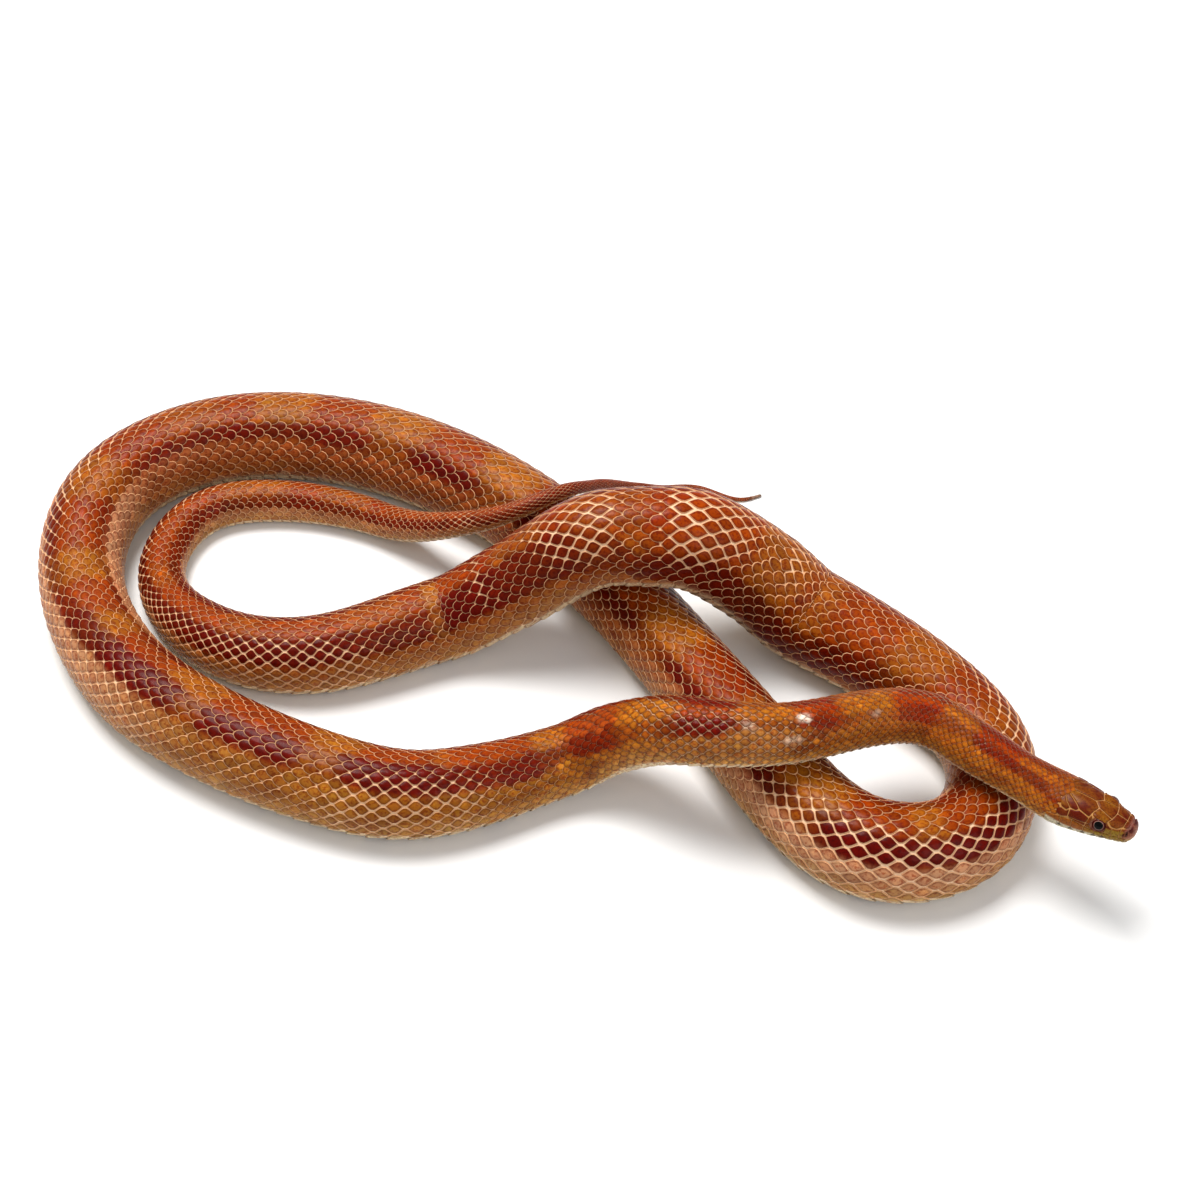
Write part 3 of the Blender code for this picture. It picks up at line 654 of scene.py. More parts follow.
# Seams between the lip plates: length from the snout, and height over the head's axis of their tops.
UPPER_SEAMS = [(1.3, 0.1), (2.9, 0.2), (4.7, 0.15), (6.5, 0.3), (8.4, 0.0), (10.9, 0.75), (13.7, 1.45),
               (16.3, 1.4), (20.0, 1.1)]


def spot_and_nostril_shade(at, angle):
    """1 on the dark red spot over the nostril, a marking, and on the nostril itself, painted dark as its
    shade; each a disc with a soft edge.
    """
    away = np.abs(signed(angle))
    spot = np.exp(-(((at - SPOT_AT) / SPOT_LONG)**2 + ((away - SPOT_ANGLE) / SPOT_WIDE)**2)**2)
    return np.maximum(spot, ramp(nostril_closeness(at, angle), 0.1, 0.4))


def lip_dashes(at, angle):
    """1 on the short black dashes at the lower ends of the seams between the upper lip plates."""
    up = (height_over_mouth(at, angle) - DASH_UP) / DASH_HIGH
    return np.max([np.exp(-((at - seam) / DASH_LONG)**4 - up**4) for seam, _ in UPPER_SEAMS[3:8]], axis=0)


def head_colour(at, angle):
    """Colour of the head: brown crown clouded with red, dark temples, olive and ochre lips with cream."""
    up, over = height_on_head(at, angle), height_over_mouth(at, angle)
    away = np.abs(signed(angle))
    red_cloud = ripple(at * 5.0, angle * 1.3, 41, CROWN_CLOUD)
    ochre_cloud = ripple(at * 6.0, angle * 1.6, 43, CROWN_CLOUD)
    crown = blend(CROWN_BROWN, CROWN_RED, 0.85 * ramp(red_cloud, -0.05, 0.4))
    crown = blend(crown, CROWN_OCHRE, 0.7 * ramp(ochre_cloud, 0.05, 0.5))
    snout = 1 - ramp(at + 0.4 * np.cos(np.radians(away)), 1.9, 2.6)
    temple = ramp(at, 9.5, 11.5) * ramp(up, 0.9, 1.9) * (1 - ramp(up, 3.3, 4.0))
    colour = blend(crown, CROWN_RED, 0.85 * temple)
    lip = blend(LIP_OLIVE, LIP_OCHRE, ramp(at, 8.0, 12.0))
    lip_top = np.where(at < 8.0, 1.75, 0.8 + 0.8 * ramp(at, 10.0, 14.0))
    colour = blend(lip, colour, ramp(up, lip_top - 0.2, lip_top + 0.3))
    colour = blend(colour, SNOUT_FLESH, 0.85 * snout * ramp(up, -0.6, 0.4))
    cream_line = 0.3 + 1.0 * ramp(at, 5.0, 9.5) + 0.4 * ramp(at, 12.0, 19.0)
    colour = blend(LIP_CREAM, colour, ramp(over, 0.8 * cream_line, 1.3 * cream_line))
    # The dark red spot over each nostril is a marking; the dark of the nostril itself is painted shade.
    colour = blend(colour, SNOUT_SPOT_AND_NOSTRIL_SHADE, 0.95 * spot_and_nostril_shade(at, angle))
    return blend(colour, LIP_DASH, lip_dashes(at, angle))


# The neck's scales lie close, with less pale net between them, as far as these lengths.
NECK_CLOSE = (130, 215)
# How far the skin lies inside the outer surface, by length from the snout, in millimetres.
COAT = [(0, 0.14), (16, 0.17), (24, 0.26), (50, 0.36), (120, 0.42), (200, 0.46), (900, 0.45),
        (1000, 0.33), (1100, 0.2), (1187, 0.06)]


def coat_depth(at):
    """Depth of the coat: less on the head and where the tail thins."""
    return eased(COAT, at)


def wrap(rings, sides, first=0):
    """Quads between rings of points, joined round, where the first ring starts at this index."""
    ring = first + np.arange(rings - 1)[:, None] * sides
    here, beside = np.arange(sides)[None, :], (np.arange(sides)[None, :] + 1) % sides
    quads = np.stack([ring + here, ring + beside, ring + sides + beside, ring + sides + here], -1)
    return quads.reshape(-1, 4)


def tube_faces(rings, sides):
    """Quads of a tube of rings and the fans that close it on the two points after its last ring."""
    here, beside = np.arange(sides), (np.arange(sides) + 1) % sides
    last, tip = (rings - 1) * sides, rings * sides
    fans = [np.stack([np.full(sides, tip), beside, here], -1),
            np.stack([np.full(sides, tip + 1), last + here, last + beside], -1)]
    return wrap(rings, sides), np.vstack(fans)


def skin_finish():
    """Finish of the hide: cream, faintly flushed, with fine folds between the scales."""
    finish = Finish("hide", roughness=0.55, specular_ior_level=0.12)
    fine, broad = finish.noise(1500.0, 4.0), finish.noise(240.0)
    colour = finish.mix(finish.span(fine, 0.35, 0.75, 0.0, 0.25), finish.read("markings"), FOLD_FLUSH)
    colour = finish.mix(finish.span(broad, 0.4, 0.8, 0.0, 0.2), colour, HIDE_FLUSH)
    finish.feed("Base Color", colour)
    finish.feed("Roughness", finish.span(fine, 0.2, 0.8, 0.45, 0.65))
    finish.bump(fine, 0.3, 0.0002)
    return finish.material


def skin_patches(at):
    """Bake patches of the skin, by corner of its quads and fans.

    The rings are shared out over strips, one above the other, each unrolled from its first ring to
    its last. The fans of the two tips are small discs in the corners over the strips.
    """
    ring, side = np.meshgrid(np.arange(len(at) - 1), np.arange(SKIN_SIDES), indexing="ij")
    strip = np.minimum(ring * SKIN_STRIPS // (len(at) - 1), SKIN_STRIPS - 1)
    first = np.searchsorted(strip[:, 0], np.arange(SKIN_STRIPS + 1))
    start, end = at[first[:-1]][strip], at[first[1:]][strip]
    across = [0.02 + 0.96 * (at[ring + step] - start) / (end - start) for step in (0, 0, 1, 1)]
    high = [(strip + 0.04 + 0.9 * (side + step) / SKIN_SIDES) / SKIN_STRIPS for step in (0, 1, 1, 0)]
    quads = np.stack([np.stack(across, -1), np.stack(high, -1)], -1).reshape(-1, 4, 2)[:, ::-1]
    turn = np.arange(SKIN_SIDES) * 2 * math.pi / SKIN_SIDES
    disc = TIP_DISC * np.stack([np.cos(turn), np.sin(turn)], -1)
    fans = [np.stack([middle + disc, middle + np.roll(disc, -1, axis=0), middle + 0 * disc], 1)
            for middle in np.array([(0.01, 0.99), (0.99, 0.99)])]
    return np.concatenate([corners.reshape(-1, 2) for corners in (quads, *fans)])


def make_skin():
    """Rings of body_point from the snout to the tail, with a groove along the line of the mouth."""
    at = np.r_[np.linspace(0.0, 0.6, 5)[:-1], np.arange(0.6, HEAD_END, HEAD_STEP),
               np.arange(HEAD_END, TAIL_END, BODY_STEP), TAIL_END]
    length, turn = np.meshgrid(at, np.arange(SKIN_SIDES) * 360.0 / SKIN_SIDES, indexing="ij")
    depth = coat_depth(length)
    mouth, nostril = mouth_closeness(length, turn), nostril_closeness(length, turn)
    out = brow(length, turn) - depth - MOUTH_GROOVE * mouth - NOSTRIL_HOLLOW * nostril
    points = body_point(length, turn, out, 1.1 * depth)
    hidden = 0.22 + 0.42 * (1 - ramp(length, *NECK_CLOSE)) + 0.7 * ramp(length, 1080, 1140)
    tint = blend(SKIN_CREAM, markings(length, turn), hidden)
    tint = blend(tint, SUTURE, 1 - ramp(length, 20, 27))
    tint = blend(tint, head_colour(length, turn), 1 - ramp(length, 1.9, 2.6))
    # Painted shade: the groove of the mouth and the nostrils are painted dark.
    tint = blend(tint, MOUTH_PAINTED_SHADE, np.maximum(0.85 * mouth, nostril))
    # Painted shade: the skin under and round each eye, in the gap of its socket, is painted the crown's dark
    # red.
    tint = blend(tint, CROWN_RED, 0.95 * eye_closeness(length, turn))
    tint = blend(tint, LIP_DASH, lip_dashes(length, turn)).reshape(-1, 3)
    tips = np.array([points[0].mean(0), points[-1].mean(0)])
    tips[1] += axis_frame(np.array([float(TAIL_END)]))[1][0] * TAIL_POINT
    quads, fans = tube_faces(len(at), SKIN_SIDES)
    return surface_mesh("skin", np.vstack([points.reshape(-1, 3), tips]), quads[:, ::-1], fans[:, ::-1],
                        {"markings": np.vstack([tint, tint[[0, -1]]])}, skin_patches(at))


def fit(item, material, slot, *nodes):
    """Give a piece its material, the body it rides on and the solids it stands for. The slot is not used."""
    item.data.materials.append(material)
    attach(item, "root")
    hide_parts(*nodes)


fit(make_skin(), skin_finish(), "skin", "head", "lower_jaw", *LENGTH_NAMES)


# Scales of the back and flanks: small horny plates in slanting rows, each rooted in the skin at its
# front and free at its rear edge, so they part where the body stretches and shingle where it folds.

# Degrees between rows and how many lie on each side of the middle one, on the trunk and on the tail.
ROW_STEP, ROWS_EACH_SIDE = 8.8, 12
TAIL_ROW_STEP, TAIL_ROWS_EACH_SIDE = 14.1, 7
VENT = 962
# Scales start here, with more rows round the throat as far as the first belly scutes, and end this
# far before the tip of the tail.
SCALES_START, THROAT_ROWS, THROAT_END, LAST_SCALE = 12.0, 8, 33.0, 3.0
# Where they begin behind the head plates: angle from the middle of the back, and length.
NAPE = [(0, 16.0), (13, 17.0), (25, 17.7), (40, 17.7), (60, 17.3), (76, 17.7), (82, 20.2), (112, 20.5),
        (124, 17.5), (140, 14.6), (160, 13.0), (180, 12.6)]
# A scale's cell among its six neighbours is a hexagon where the body is stretched on the outside of a
# bend, and the scale lies parted from them there. Elsewhere scales lap and are oval. First the powers
# that round their corners, then half length and half breadth in shares of a row's pitch and breadth.
HEXAGON_ROUND, OVAL_ROUND = 7.0, 2.3
SCALE_PARTED, SCALE_LAPPED = (0.39, 0.93), (0.55, 0.82)
PARTED_STRETCH, SCALE_GROWS, STRETCH_LEAST = (0.98, 1.14), (0.9, 1.6), 0.7
SCALE_TURNS = [0, 24, 50, 78, 102, 130, 156, 180, 204, 230, 258, 282, 310, 336]
SCALE_SIDES = len(SCALE_TURNS)
SCALE_RINGS = [0.5, 0.86, 1.0]
# Heights over the outer surface in depths of the coat: a scale's rim, its dome and keel, the lift of
# its free end, and its sunk base.
SCALE_RIM, SCALE_DOME, SCALE_KEEL, SCALE_LIFT, SCALE_BASE = -0.62, 0.36, 0.12, 0.36, -1.12
KEEL_HALF = 0.16
# Height over the floor that scales keep, and the sizes of a scale's patch, sunk and on top.
SCALE_CLEAR, PATCH_SHRINK = 0.05, (0.62, 0.72)
SPECK_GAIN, CLOUD_GAIN = (0.55, 0.22, 0.12), (1.35, 1.45, 1.3)
SCALE_BORDER, SCALE_EDGE = tone(64, 2, 0), tone(238, 186, 138)
# Share of a scale's colour that comes from its root, how much it varies in size and in light, and how
# much painted sheen lightens the middles of the close scales of the neck, darkening their rims a little.
ROOT_SHARE, SIZE_VARIES, LIGHT_VARIES, NECK_PAINTED_SHEEN = 0.45, 0.035, 0.11, 0.3
# Length of body that one row of scales takes, by length from the snout, in millimetres.
ROW_PITCH = [(12, 1.5), (28, 1.6), (45, 1.85), (60, 2.2), (80, 2.5), (100, 2.8), (120, 3.1), (160, 3.7),
             (215, 4.45), (320, 4.45), (440, 4.85), (550, 4.45), (640, 4.7), (700, 4.4), (780, 4.85),
             (830, 4.45), (915, 3.95), (970, 3.3), (1050, 2.9), (1110, 2.1), (1187, 1.2)]
ROW_SAMPLES = 4000


def scale_pitch(at):
    """Length of body that one row of scales takes."""
    return eased(ROW_PITCH, at)


def row_lengths(start, end):
    """Lengths from the snout half a pitch apart: every second one is a scale of the same row."""
    dense = np.linspace(start, end, ROW_SAMPLES)
    number = np.r_[0.0, np.cumsum(np.diff(dense) / scale_pitch((dense[1:] + dense[:-1]) / 2))]
    return np.interp(np.arange(0.0, number[-1], 0.5), number, dense)


def lattice(start, end, step, each_side):
    """Length and angle of every scale of a stretch: neighbouring rows are half a pitch apart."""
    halves = row_lengths(start, end)
    rows = np.arange(-each_side, each_side + 1)
    lengths = [halves[row % 2::2] for row in rows]
    return np.concatenate(lengths), np.repeat(rows * step, [len(own) for own in lengths])


def scale_finish():
    """Finish of the scales: horn with fine mottling, a dark border, a paler rim and a soft polish."""
    finish = Finish("scales", coat_weight=0.03, coat_roughness=0.15, specular_ior_level=0.06)
    colour, rim = finish.read("markings"), finish.read("rim", 2)
    speck, cloud = finish.noise(1150.0, 3.0, 0.6), finish.noise(480.0, 4.0, 0.6)
    colour = finish.mix(finish.span(speck, 0.47, 0.66, 0.0, 0.8), colour, finish.gain(colour, SPECK_GAIN))
    colour = finish.mix(finish.span(cloud, 0.46, 0.7, 0.0, 0.8), colour, finish.gain(colour, CLOUD_GAIN))
    border = finish.mix(0.5, colour, SCALE_BORDER)
    border = finish.mix(finish.span(rim, 0.45, 0.85, 0.0, 0.75), colour, border)
    edge = finish.mix(0.68, colour, SCALE_EDGE)
    finish.feed("Base Color", finish.mix(finish.span(rim, 0.87, 0.98), border, edge))
    finish.feed("Roughness", finish.span(speck, 0.2, 0.8, 0.24, 0.38))
    finish.bump(speck, 0.25, 0.00015)
    return finish.material


def dome_faces(rings, sides):
    """Quads and triangles of a closed dome: a middle point, rings of points and a flat underside."""
    here, beside = 1 + np.arange(sides), 1 + (np.arange(sides) + 1) % sides
    base = 1 + sides * (rings - 1)
    under = [(base + k, base + k + 1, base) for k in range(1, sides - 1)]
    return wrap(rings, sides, 1), np.vstack([np.stack([beside, here, 0 * here], -1), under])


def copied(faces, times, points):
    """The faces of one shape repeated for as many shapes, each of this many points."""
    return (faces + np.arange(times)[:, None, None] * points).reshape(-1, faces.shape[1])


def scale_pattern():
    """A scale's grid: two directions, reach when parted and lapped, ring shares, which points are sunk."""
    rings = SCALE_RINGS + [1.0]
    turn = np.radians(SCALE_TURNS)
    level, rise = np.abs(np.cos(turn)), np.abs(np.sin(turn))
    hexagon = ((level + 0.8 * rise)**HEXAGON_ROUND + rise**HEXAGON_ROUND)**(-1 / HEXAGON_ROUND)
    oval = (level**OVAL_ROUND + rise**OVAL_ROUND)**(-1 / OVAL_ROUND)
    share = np.r_[0.0, np.repeat(rings, SCALE_SIDES)]
    parted, lapped = (np.r_[0.0, np.tile(reach, len(rings))] * share for reach in (hexagon, oval))
    toward, aside = (np.r_[0.0, np.tile(way, len(rings))] for way in (np.cos(turn), np.sin(turn)))
    return toward, aside, parted, lapped, share, np.arange(len(share)) > SCALE_SIDES * len(SCALE_RINGS)


def scale_tints(at, angle, point_at, point_angle, share, seed):
    """Colour over each scale: the markings there and at its root, each a little lighter or redder, with a
    painted sheen on the neck's scales.
    """
    draw = np.random.default_rng(seed)
    jitter = draw.normal(0.0, 1.0, (2, len(at)))
    root = markings(at + jitter[0] * 0.8, angle + jitter[1] * 2.0)[:, None]
    tint = ROOT_SHARE * root + (1 - ROOT_SHARE) * markings(point_at, point_angle)
    value = np.exp(draw.normal(0.0, LIGHT_VARIES, len(at)))[:, None, None]
    warm = draw.normal(0.0, 0.06, len(at))[:, None, None] * np.array([0.3, 1.0, 1.2])
    close = (1 - ramp(at, *NECK_CLOSE))[:, None]
    # Painted sheen: the middles of the neck's close scales are lightened and their rims darkened.
    painted_sheen = 1 + NECK_PAINTED_SHEEN * close * (1 - 1.6 * share**3)
    return np.clip(np.clip(tint * value * np.exp(warm), 0.0, 1.0) * painted_sheen[..., None], 0.0, 1.0)


def lay_scales(name, at, angle, row_step, start, end, seed, node):
    """Joined scales at the places given.

    A scale is an outline between a rounded hexagon and an oval, carried on the surface. Its height is
    a dome that falls to the rim with a low keel along it, tilted so that the front is level with the
    skin and the rear stands clear of it.
    """
    toward, aside, reach_parted, reach_lapped, share, sunk = scale_pattern()
    draw = np.random.default_rng(seed)
    pitch, half = scale_pitch(at), eased(PROFILE, at)
    vary = np.exp(draw.normal(0.0, SIZE_VARIES, (2, len(at))))
    # A scale grows with the stretch within limits, and its length is laid off along the axis.
    stretch = stretch_at(at, angle)
    parted = ramp(stretch, *PARTED_STRETCH)
    long, wide = (low + (high - low) * parted for low, high in zip(SCALE_LAPPED, SCALE_PARTED))
    long *= pitch * np.clip(stretch, *SCALE_GROWS) / np.maximum(stretch, STRETCH_LEAST) * vary[0]
    wide *= half * math.radians(row_step) * vary[1]
    parted = parted[:, None]
    reach = reach_lapped + (reach_parted - reach_lapped) * parted
    along, across = toward * reach, aside * reach
    depth = coat_depth(at)[:, None]
    fold = np.clip(1.0 - stretch, 0.0, 0.4)[:, None]
    dome = SCALE_DOME * (1 - share**2.4)
    keel = SCALE_KEEL * np.exp(-(across / KEEL_HALF)**2) * (1 - share**2)
    lift = (SCALE_LIFT + 0.5 * fold) * (1 - 0.6 * parted) * along * np.minimum(1.0, share * 2)
    height = depth * np.where(sunk, SCALE_BASE, SCALE_RIM + dome + keel + lift)
    back, around = long[:, None] * along, np.degrees(wide[:, None] * across / half[:, None])
    at, angle = at[:, None], angle[:, None]
    points = body_point(at + back, angle + around, height, SCALE_CLEAR)
    quads, triangles = (copied(faces, len(at), len(share))
                        for faces in dome_faces(len(SCALE_RINGS) + 1, SCALE_SIDES))
    tint = scale_tints(at[:, 0], angle[:, 0], at + back, angle + around, share, seed + 1)
    rim = share * (1 - 0.07 * (1 - ramp(at, *NECK_CLOSE)))
    # Patches are smaller than the scales, so that those of neighbours that lap stay apart.
    shrink = np.where(sunk, *PATCH_SHRINK)
    edge = np.abs(angle).max() + row_step
    patches = np.stack([(at + back * shrink - start + 3) / (end - start + 6),
                        (angle + around * shrink + edge) / (2 * edge)], -1).reshape(-1, 2)
    item = surface_mesh(name, points.reshape(-1, 3), quads, triangles,
                        {"markings": tint.reshape(-1, 3), "rim": rim.ravel()}, patches)
    fit(item, horn, "skin", node)


horn = scale_finish()
trunk_at, trunk_angle = lattice(SCALES_START, VENT, ROW_STEP, ROWS_EACH_SIDE + THROAT_ROWS)
keep = (np.abs(trunk_angle) <= ROW_STEP * ROWS_EACH_SIDE + 1) | (trunk_at < THROAT_END)
keep &= trunk_at > eased(NAPE, np.abs(trunk_angle))
trunk_at, trunk_angle = trunk_at[keep], trunk_angle[keep]
tail_at, tail_angle = lattice(VENT, TAIL_END - LAST_SCALE, TAIL_ROW_STEP, TAIL_ROWS_EACH_SIDE)
for number, (node, start, end) in enumerate(LENGTHS):
    for ending, at, angle, step in (("", trunk_at, trunk_angle, ROW_STEP),
                                    ("_rear", tail_at, tail_angle, TAIL_ROW_STEP)):
        here = (at >= start) & (at < end)
        if here.any():
            seed = 100 + 10 * number + len(ending)
            lay_scales(f"scales_{node}{ending}", at[here], angle[here], step, start, end, seed, node)


# Belly scutes: one broad plate for each row of scales, lapped backward from chin to vent, then a
# divided plate at the vent and paired, narrower plates under the tail.

# Angles where the scutes of the trunk and of the tail begin, and where the tail's pairs part.
SCUTE_FROM, TAIL_SCUTE_FROM, TAIL_MIDDLE = 108.5, 106.0, (179.0, 181.0)
# Lengths of the plate at the vent and of the tip that bears no scutes.
VENT_PLATE, LAST_SCUTE = 5.5, 4.0
# Points across a scute, its height over the floor, and the margin in degrees round its bake patch.
SCUTE_ACROSS, SCUTE_CLEAR, SCUTE_MARGIN = 24, 0.04, 6
# Outline of a scute cut lengthwise: share of its pitch and height in depths of the coat. Its ends are
# this thick, and its outline is drawn together there by this share.
SCUTE_END, SCUTE_DRAWN = -1.1, 0.38
SCUTE_OUTLINE = [(-0.12, -0.95), (0.2, -0.74), (0.55, -0.46), (0.86, -0.2), (1.0, -0.13), (1.07, -0.3),
                 (1.05, -0.72), (0.5, -1.12), (-0.1, -1.2)]


def lay_scutes(name, at, pitch, low, high, start, end, node):
    """Joined plates: the outline is carried round the belly between two angles.

    Toward its ends each outline is drawn together and thinner, so that a plate has rounded corners.
    """
    outline = np.array(SCUTE_OUTLINE)
    across = np.sin(np.linspace(-0.5, 0.5, SCUTE_ACROSS) * math.pi) / 2 + 0.5
    close = ramp(1 - np.abs(2 * across - 1), -0.02, 0.16)
    along = outline[:, :1] * (1 - SCUTE_DRAWN + SCUTE_DRAWN * close)
    thick = SCUTE_END + (outline[:, 1:] - SCUTE_END) * close
    order = np.arange(thick.size).reshape(thick.shape)
    below = np.roll(order, -1, axis=0)
    quads = np.stack([order[:, :-1], order[:, 1:], below[:, 1:], below[:, :-1]], -1).reshape(-1, 4)
    ends = [(order[0, 0], order[k, 0], order[k + 1, 0]) for k in range(1, len(outline) - 1)]
    ends += [(order[0, -1], order[k + 1, -1], order[k, -1]) for k in range(1, len(outline) - 1)]
    quads, ends = (copied(faces, len(at), order.size) for faces in (quads, np.array(ends)))
    at, pitch, low, high = (value[:, None, None] for value in (at, pitch, low, high))
    angle = low + (high - low) * across + 0 * along
    height = thick * coat_depth(at)
    points = body_point(at + pitch * along, angle, height, SCUTE_CLEAR - height)
    tint = markings(at + 1.0, angle).reshape(-1, 3)
    free = np.broadcast_to(ramp(along, 0.75, 1.05), angle.shape).ravel()
    held = at + pitch * np.clip(along, 0.03, 0.97)
    patches = np.stack([(held - start + 3) / (end - start + 9),
                        (angle - SCUTE_FROM + SCUTE_MARGIN) / (360 + 2 * (SCUTE_MARGIN - SCUTE_FROM))], -1)
    item = surface_mesh(name, points.reshape(-1, 3), quads, ends, {"markings": tint, "rim": free * 0.9},
                        patches.reshape(-1, 2))
    fit(item, horn, "skin", node)


def scute_places():
    """Length, pitch and the two angles of every scute from the chin to the tip of the tail, as rows."""
    trunk = row_lengths(THROAT_END, VENT)[::2]
    tail = row_lengths(VENT + VENT_PLATE, TAIL_END - LAST_SCUTE)
    rows = [(trunk, scale_pitch(trunk), SCUTE_FROM, 360 - SCUTE_FROM)]
    sides = ((0, TAIL_SCUTE_FROM, TAIL_MIDDLE[0]), (1, TAIL_MIDDLE[1], 360 - TAIL_SCUTE_FROM))
    for first, low, high in sides:
        rows.append((np.array([VENT + 0.3]), VENT_PLATE, low, high))
        rows.append((tail[first::2], scale_pitch(tail[first::2]), low, high))
    return np.hstack([np.broadcast_arrays(*row) for row in rows])


scutes = scute_places()
for node, start, end in LENGTHS:
    here = (scutes[0] >= start) & (scutes[0] < end)
    lay_scutes(f"scutes_{node}", *scutes[:, here], start, end, node)


# Head plates: smooth horny shields fitted edge to edge over the skull, larger than the scales, with
# pale seams between them. Their corners are set out by length from the snout and distance from the
# midline on the crown and throat, or height from the head's axis on its sides.
CROWN_PLATES = {
    "internasal": [(1.45, 0.0), (2.6, 0.0), (2.75, 2.2), (2.0, 2.05), (1.55, 1.3)],
    "prefrontal": [(2.6, 0.0), (5.3, 0.0), (5.45, 1.0), (5.7, 2.1), (6.2, 3.0), (5.2, 3.6), (3.9, 3.3),
                   (2.75, 2.2)],
    "supraocular": [(5.7, 2.1), (9.3, 1.4), (10.05, 3.15), (9.8, 3.75), (8.9, 3.8), (7.2, 3.75),
                    (6.4, 3.55), (6.2, 3.0)],
    "parietal": [(10.7, 0.0), (9.3, 1.4), (10.05, 3.15), (10.4, 4.35), (11.7, 4.2), (13.15, 3.95),
                 (14.0, 3.2), (15.7, 2.0), (16.9, 1.2), (16.35, 0.0)],
    "upper_temporal": [(13.15, 3.95), (14.0, 3.2), (15.7, 2.0), (16.9, 1.2), (17.4, 2.1), (16.3, 3.6),
                       (15.0, 4.55), (13.6, 4.5)],
    "rear_temporal": [(17.4, 2.1), (16.3, 3.6), (15.0, 4.55), (15.6, 5.2), (17.0, 5.0), (18.1, 3.6)],
}
FRONTAL = [(5.3, 0.0), (5.45, 1.0), (5.7, 2.1), (9.3, 1.4), (10.7, 0.0), (9.3, -1.4), (5.7, -2.1),
           (5.45, -1.0)]
SIDE_PLATES = {
    "fore_nasal": [(0.8, 0.15), (1.5, 0.2), (1.3, 0.8), (1.3, 1.6), (1.5, 2.1), (0.95, 2.0)],
    "rear_nasal": [(1.55, 0.2), (2.9, 0.25), (2.85, 2.4), (2.1, 2.25), (1.55, 2.15), (2.05, 1.6),
                   (2.05, 0.8)],
    "loreal": [(2.95, 0.25), (2.9, 2.4), (3.9, 2.1), (4.8, 2.15), (4.75, 0.2)],
    "preocular": [(4.75, 0.2), (4.8, 2.15), (5.3, 2.2), (6.25, 2.9), (6.4, 2.3), (6.2, 1.4), (6.5, 0.4)],
    "upper_postocular": [(9.7, 3.35), (10.05, 3.6), (10.38, 3.1), (10.6, 1.75), (9.8, 1.6), (9.7, 2.4)],
    "lower_postocular": [(9.8, 1.55), (10.6, 1.7), (10.7, 0.75), (9.2, 0.5)],
    "fore_temporal": [(10.4, 3.05), (11.7, 3.45), (13.0, 3.75), (13.6, 3.5), (14.9, 3.5), (14.8, 1.95),
                      (12.5, 1.75), (10.65, 1.75)],
    "low_temporal": [(10.7, 1.65), (12.5, 1.7), (14.7, 1.85), (12.6, 1.25), (10.75, 0.85)],
    "mid_temporal": [(14.85, 1.95), (14.95, 3.45), (15.6, 3.0), (17.0, 3.3), (17.8, 2.9), (17.6, 1.9),
                     (16.4, 1.45)],
}
LOWER_SEAMS = [0.9, 2.3, 4.0, 5.9, 8.0, 10.2, 12.5, 15.0, 17.6, 20.2]
LOWER_LIP_DEPTH = 1.8
LIP_GAP = 0.05
PLATE_GAP = 0.065
MENTAL, MENTAL_GAP = [(0.7, -0.9), (1.5, 0.0), (0.7, 0.9), (0.35, 0.0)], 0.05
# The rostral wraps the tip of the snout: length from the snout and angle from the middle of the back.
ROSTRAL = [(0.8, -80.0), (0.9, -50.0), (0.95, -24.0), (1.35, 0.0), (0.95, 24.0), (0.9, 50.0), (0.8, 80.0),
           (0.1, 76.0), (0.03, 0.0), (0.1, -76.0)]
CHIN_PLATES = {
    "fore_chin": [(1.7, 0.1), (6.8, 0.1), (7.2, 1.2), (6.0, 1.9), (2.6, 1.5)],
    "rear_chin": [(7.1, 0.1), (11.3, 0.1), (12.2, 0.8), (11.2, 1.9), (7.4, 1.5)],
    "fore_sublabial": [(2.8, 1.7), (6.1, 2.1), (6.9, 3.0), (3.4, 2.6)],
    "mid_sublabial": [(6.4, 2.2), (7.5, 1.7), (10.4, 2.0), (10.8, 3.4), (7.1, 3.1)],
    "rear_sublabial": [(10.7, 2.1), (13.6, 2.3), (14.2, 3.9), (11.1, 3.5)],
}
PLATE_SIDES = 56
# A plate's middle, and its rings to the sunk base: share of its outline and height in millimetres. The
# heights under the surface hold for this depth of the coat and change with it.
PLATE_RINGS = [(0.0, 0.1), (0.15, 0.09), (0.3, 0.09), (0.46, 0.085), (0.6, 0.08), (0.72, 0.07),
               (0.83, 0.055), (0.93, 0.02), (0.985, -0.07), (1.0, -0.2), (0.97, -0.34)]
PLATE_COAT = 0.17
PLATE_DARK, PLATE_SEAM, PLATE_GAIN = tone(56, 6, 2), tone(172, 120, 60), (1.3, 1.5, 1.4)


def arc(share, power):
    """Angle in degrees at which a section reaches a share of its half size: arc sine of its power."""
    return np.degrees(np.arcsin(np.clip(share, 0.0, 0.999)**(power / 2)))


def crown_angle(at, across):
    """Angle round the section of a place on the crown."""
    width, _, _, crown, _ = section(at)
    return np.sign(across) * arc(np.abs(across) / width, crown)


def side_angle(at, up):
    """Angle round the section of a place on the side, by its height."""
    _, top, depth, crown, belly = section(at)
    over = arc(np.abs(up) / np.where(up > 0, top, depth), np.where(up > 0, crown, belly))
    return np.where(up > 0, 90.0 - over, 90.0 + over)


def throat_angle(at, across):
    """Angle round the section of a place under the chin."""
    width, _, _, _, belly = section(at)
    turn = arc(np.abs(across) / width, belly)
    return np.where(across > 0, 180.0 - turn, turn - 180.0)


